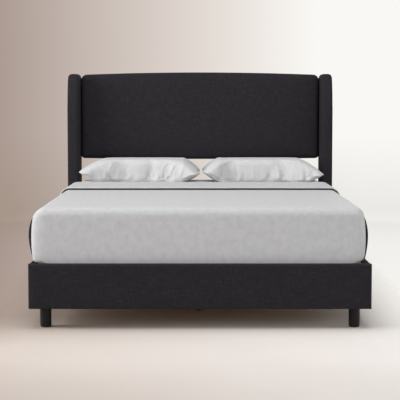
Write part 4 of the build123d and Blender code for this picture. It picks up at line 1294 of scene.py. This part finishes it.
class BED_OT_stage(Operator):
    """Set the floor, the backdrop, the soft lights and the camera"""

    bl_idname = "bed.stage"
    bl_label = "Stage"

    def execute(self, context):
        self.floor(context.scene.bed_colours)
        self.world(context)
        self.lights(context)
        self.camera(context)
        return {"FINISHED"}

    def floor(self, colours):
        """A plain pale floor that turns beige towards its back left and runs out softly into the backdrop."""
        bm = bmesh.new()
        bmesh.ops.create_grid(bm, x_segments=1, y_segments=1, size=9)
        floor = make_object("studio_floor", bm)
        material, tree, shader, place = start_material("painted_floor", False, Roughness=0.9,
                                                       Specular_IOR_Level=0.1)
        parts = add_node(tree, "ShaderNodeSeparateXYZ", {"Vector": place}).outputs
        x, y = parts["X"], parts["Y"]
        front = shade(tree, x, (-1.0, 1.0), opaque(colours.floor_left), opaque(colours.floor_right))
        back = shade(tree, x, (-1.0, 1.0), opaque(colours.floor_back_left), opaque(colours.floor_back_right))
        whole = shade(tree, y, (-1.45, -0.75), front, back)
        sideways = add_node(tree, "ShaderNodeMath", {0: x}, operation="ABSOLUTE").outputs[0]
        away = add_node(tree, "ShaderNodeVectorMath", {0: place}, operation="LENGTH").outputs["Value"]
        grit = mottle(tree, place, (400, 400, 400), 2.0)
        shares = []
        # What each share follows, where it starts and ends, in metres for a place, and how far it rises
        for source, start, end, most in ((y, -1.7, -2.5, 0.5), (grit, 0.3, 0.7, 0.08), (away, 1.9, 4.2, 1.0),
                                         (sideways, 0.80, 1.15, 0.85), (y, -1.6, -0.8, 1.0)):
            settings = {"Value": source, "From Min": start, "From Max": end, "To Max": most}
            shares.append(add_node(tree, "ShaderNodeMapRange", settings).outputs["Result"])
        in_front, gritty, far, beside, behind = shares
        darker = add_node(tree, "ShaderNodeMath", {0: in_front, 1: gritty}, operation="ADD").outputs[0]
        paint = shade(tree, darker, (0, 1), whole, opaque(colours.floor_left, 0.80))
        tree.links.new(paint, shader.inputs["Base Color"])
        back_sides = add_node(tree, "ShaderNodeMath", {0: beside, 1: behind}, operation="MULTIPLY").outputs[0]
        gone = add_node(tree, "ShaderNodeMath", {0: far, 1: back_sides}, operation="MAXIMUM").outputs[0]
        clear = add_node(tree, "ShaderNodeBsdfTransparent").outputs[0]
        spread = add_node(tree, "ShaderNodeMixShader", {0: gone, 1: shader.outputs[0], 2: clear})
        tree.links.new(spread.outputs[0], tree.nodes["Material Output"].inputs["Surface"])
        floor.data.materials.append(material)

    def world(self, context):
        """Soft light from all round, and a backdrop that only the camera, gloss and glass see."""
        colours = context.scene.bed_colours
        world = bpy.data.worlds.new("studio")
        context.scene.world = world
        world.use_nodes = True
        tree = world.node_tree
        tree.nodes.clear()
        place = add_node(tree, "ShaderNodeTexCoord").outputs["Generated"]
        parts = add_node(tree, "ShaderNodeSeparateXYZ", {"Vector": place}).outputs
        x, z = parts["X"], parts["Z"]
        whole = shade(tree, x, (-0.17, 0.0), opaque(colours.backdrop_left), opaque(colours.backdrop_middle))
        whole = shade(tree, x, (0.0, 0.10), whole, opaque(colours.backdrop_right))
        # A soft shadow along the horizon, which lies below the camera's level because the camera looks down
        shares = []
        for start, end, first, last in ((-0.092, -0.030, 0.80, 0.0), (-0.125, -0.095, 0.0, 1.0)):
            settings = {"Value": z, "From Min": start, "From Max": end, "To Min": first, "To Max": last}
            shares.append(add_node(tree, "ShaderNodeMapRange", settings).outputs["Result"])
        band = add_node(tree, "ShaderNodeMath", dict(enumerate(shares)), operation="MULTIPLY").outputs[0]
        shadow = shade(tree, x, (-0.16, 0.14), opaque(colours.floor_back_left),
                       opaque(colours.backdrop_right, 0.84))
        whole = shade(tree, band, (0, 1), whole, shadow)
        whole = shade(tree, z, (-0.24, -0.45), whole, opaque(colours.floor_left))
        backdrop = add_node(tree, "ShaderNodeBackground", {"Color": whole, "Strength": 1.0}).outputs[0]
        ambient = {"Color": (1.0, 0.99, 0.985, 1), "Strength": 0.35}
        around = add_node(tree, "ShaderNodeBackground", ambient).outputs[0]
        rays = add_node(tree, "ShaderNodeLightPath").outputs
        seen = rays["Is Camera Ray"]
        for kind in ("Is Transmission Ray", "Is Glossy Ray"):
            seen = add_node(tree, "ShaderNodeMath", {0: seen, 1: rays[kind]}, operation="MAXIMUM").outputs[0]
        mixed = add_node(tree, "ShaderNodeMixShader", {0: seen, 1: around, 2: backdrop}).outputs[0]
        add_node(tree, "ShaderNodeOutputWorld", {"Surface": mixed})

    def lights(self, context):
        """A large key from the left, a softbox above and weak fills from the front and the right."""
        lamps = (
            ("key", (-5.0, -1.4, 1.8), (0.0, -0.4, 0.5), 2.6, 208, (1.0, 0.99, 0.98)),
            ("overhead", (0.0, -1.3, 4.4), (0.0, -0.8, 0.5), 3.2, 97, (1.0, 0.99, 0.99)),
            ("front fill", (-0.6, -6.2, 2.2), (0.0, -0.4, 0.5), 2.8, 63, (1.0, 0.99, 1.0)),
            ("right fill", (4.6, -1.2, 1.1), (0.0, -0.4, 0.3), 2.4, 42, (1.0, 0.99, 0.99)),
        )
        for name, place, aim, size, power, tint in lamps:
            data = bpy.data.lights.new(name, "AREA")
            data.shape = "SQUARE"
            data.size = size
            data.energy = power
            data.color = tint
            lamp = bpy.data.objects.new(name, data)
            lamp.location = place
            lamp.rotation_euler = (Vector(aim) - Vector(place)).to_track_quat("-Z", "Y").to_euler()
            context.scene.collection.objects.link(lamp)

    def camera(self, context):
        """The photograph's camera: in front of the foot, a little below the headboard's top, tilted down."""
        data = bpy.data.cameras.new("photograph")
        data.sensor_width = 36
        data.lens = CAMERA_LENS
        data.shift_y = CAMERA_SHIFT
        camera = bpy.data.objects.new("photograph", data)
        camera.location = CAMERA_PLACE
        camera.rotation_euler = (radians(90 - CAMERA_TILT), 0.0, 0.0)
        context.scene.collection.objects.link(camera)
        context.scene.camera = camera


class BED_PT_sidebar(Panel):
    """The bed's pieces, sizes and colours in the sidebar"""

    bl_idname = "BED_PT_sidebar"
    bl_label = "Wingback bed"
    bl_space_type = "VIEW_3D"
    bl_region_type = "UI"
    bl_category = "Bed"

    def draw(self, context):
        column = self.layout.column()
        for operator in operators:
            column.operator(operator.bl_idname)
        for group in (context.scene.bed_sizes, context.scene.bed_colours):
            for name in group.__annotations__:
                column.prop(group, name)


operators = (BED_OT_headboard, BED_OT_wings, BED_OT_rails, BED_OT_mattress, BED_OT_coverlet, BED_OT_pillows,
             BED_OT_fittings, BED_OT_stage)
classes = (BedSizes, BedColours, *operators, BED_PT_sidebar)


def register():
    for one in classes:
        bpy.utils.register_class(one)
    bpy.types.Scene.bed_sizes = PointerProperty(type=BedSizes)
    bpy.types.Scene.bed_colours = PointerProperty(type=BedColours)


def unregister():
    del bpy.types.Scene.bed_colours
    del bpy.types.Scene.bed_sizes
    for one in reversed(classes):
        bpy.utils.unregister_class(one)


def main():
    register()
    bpy.context.scene.view_settings.view_transform = "Standard"
    bpy.ops.bed.headboard()
    bpy.ops.bed.wings()
    bpy.ops.bed.rails()
    bpy.ops.bed.mattress()
    bpy.ops.bed.coverlet()
    bpy.ops.bed.pillows()
    bpy.ops.bed.fittings()
    bpy.ops.bed.stage()
    bpy.context.view_layer.update()


if __name__ == "__main__":
    main()
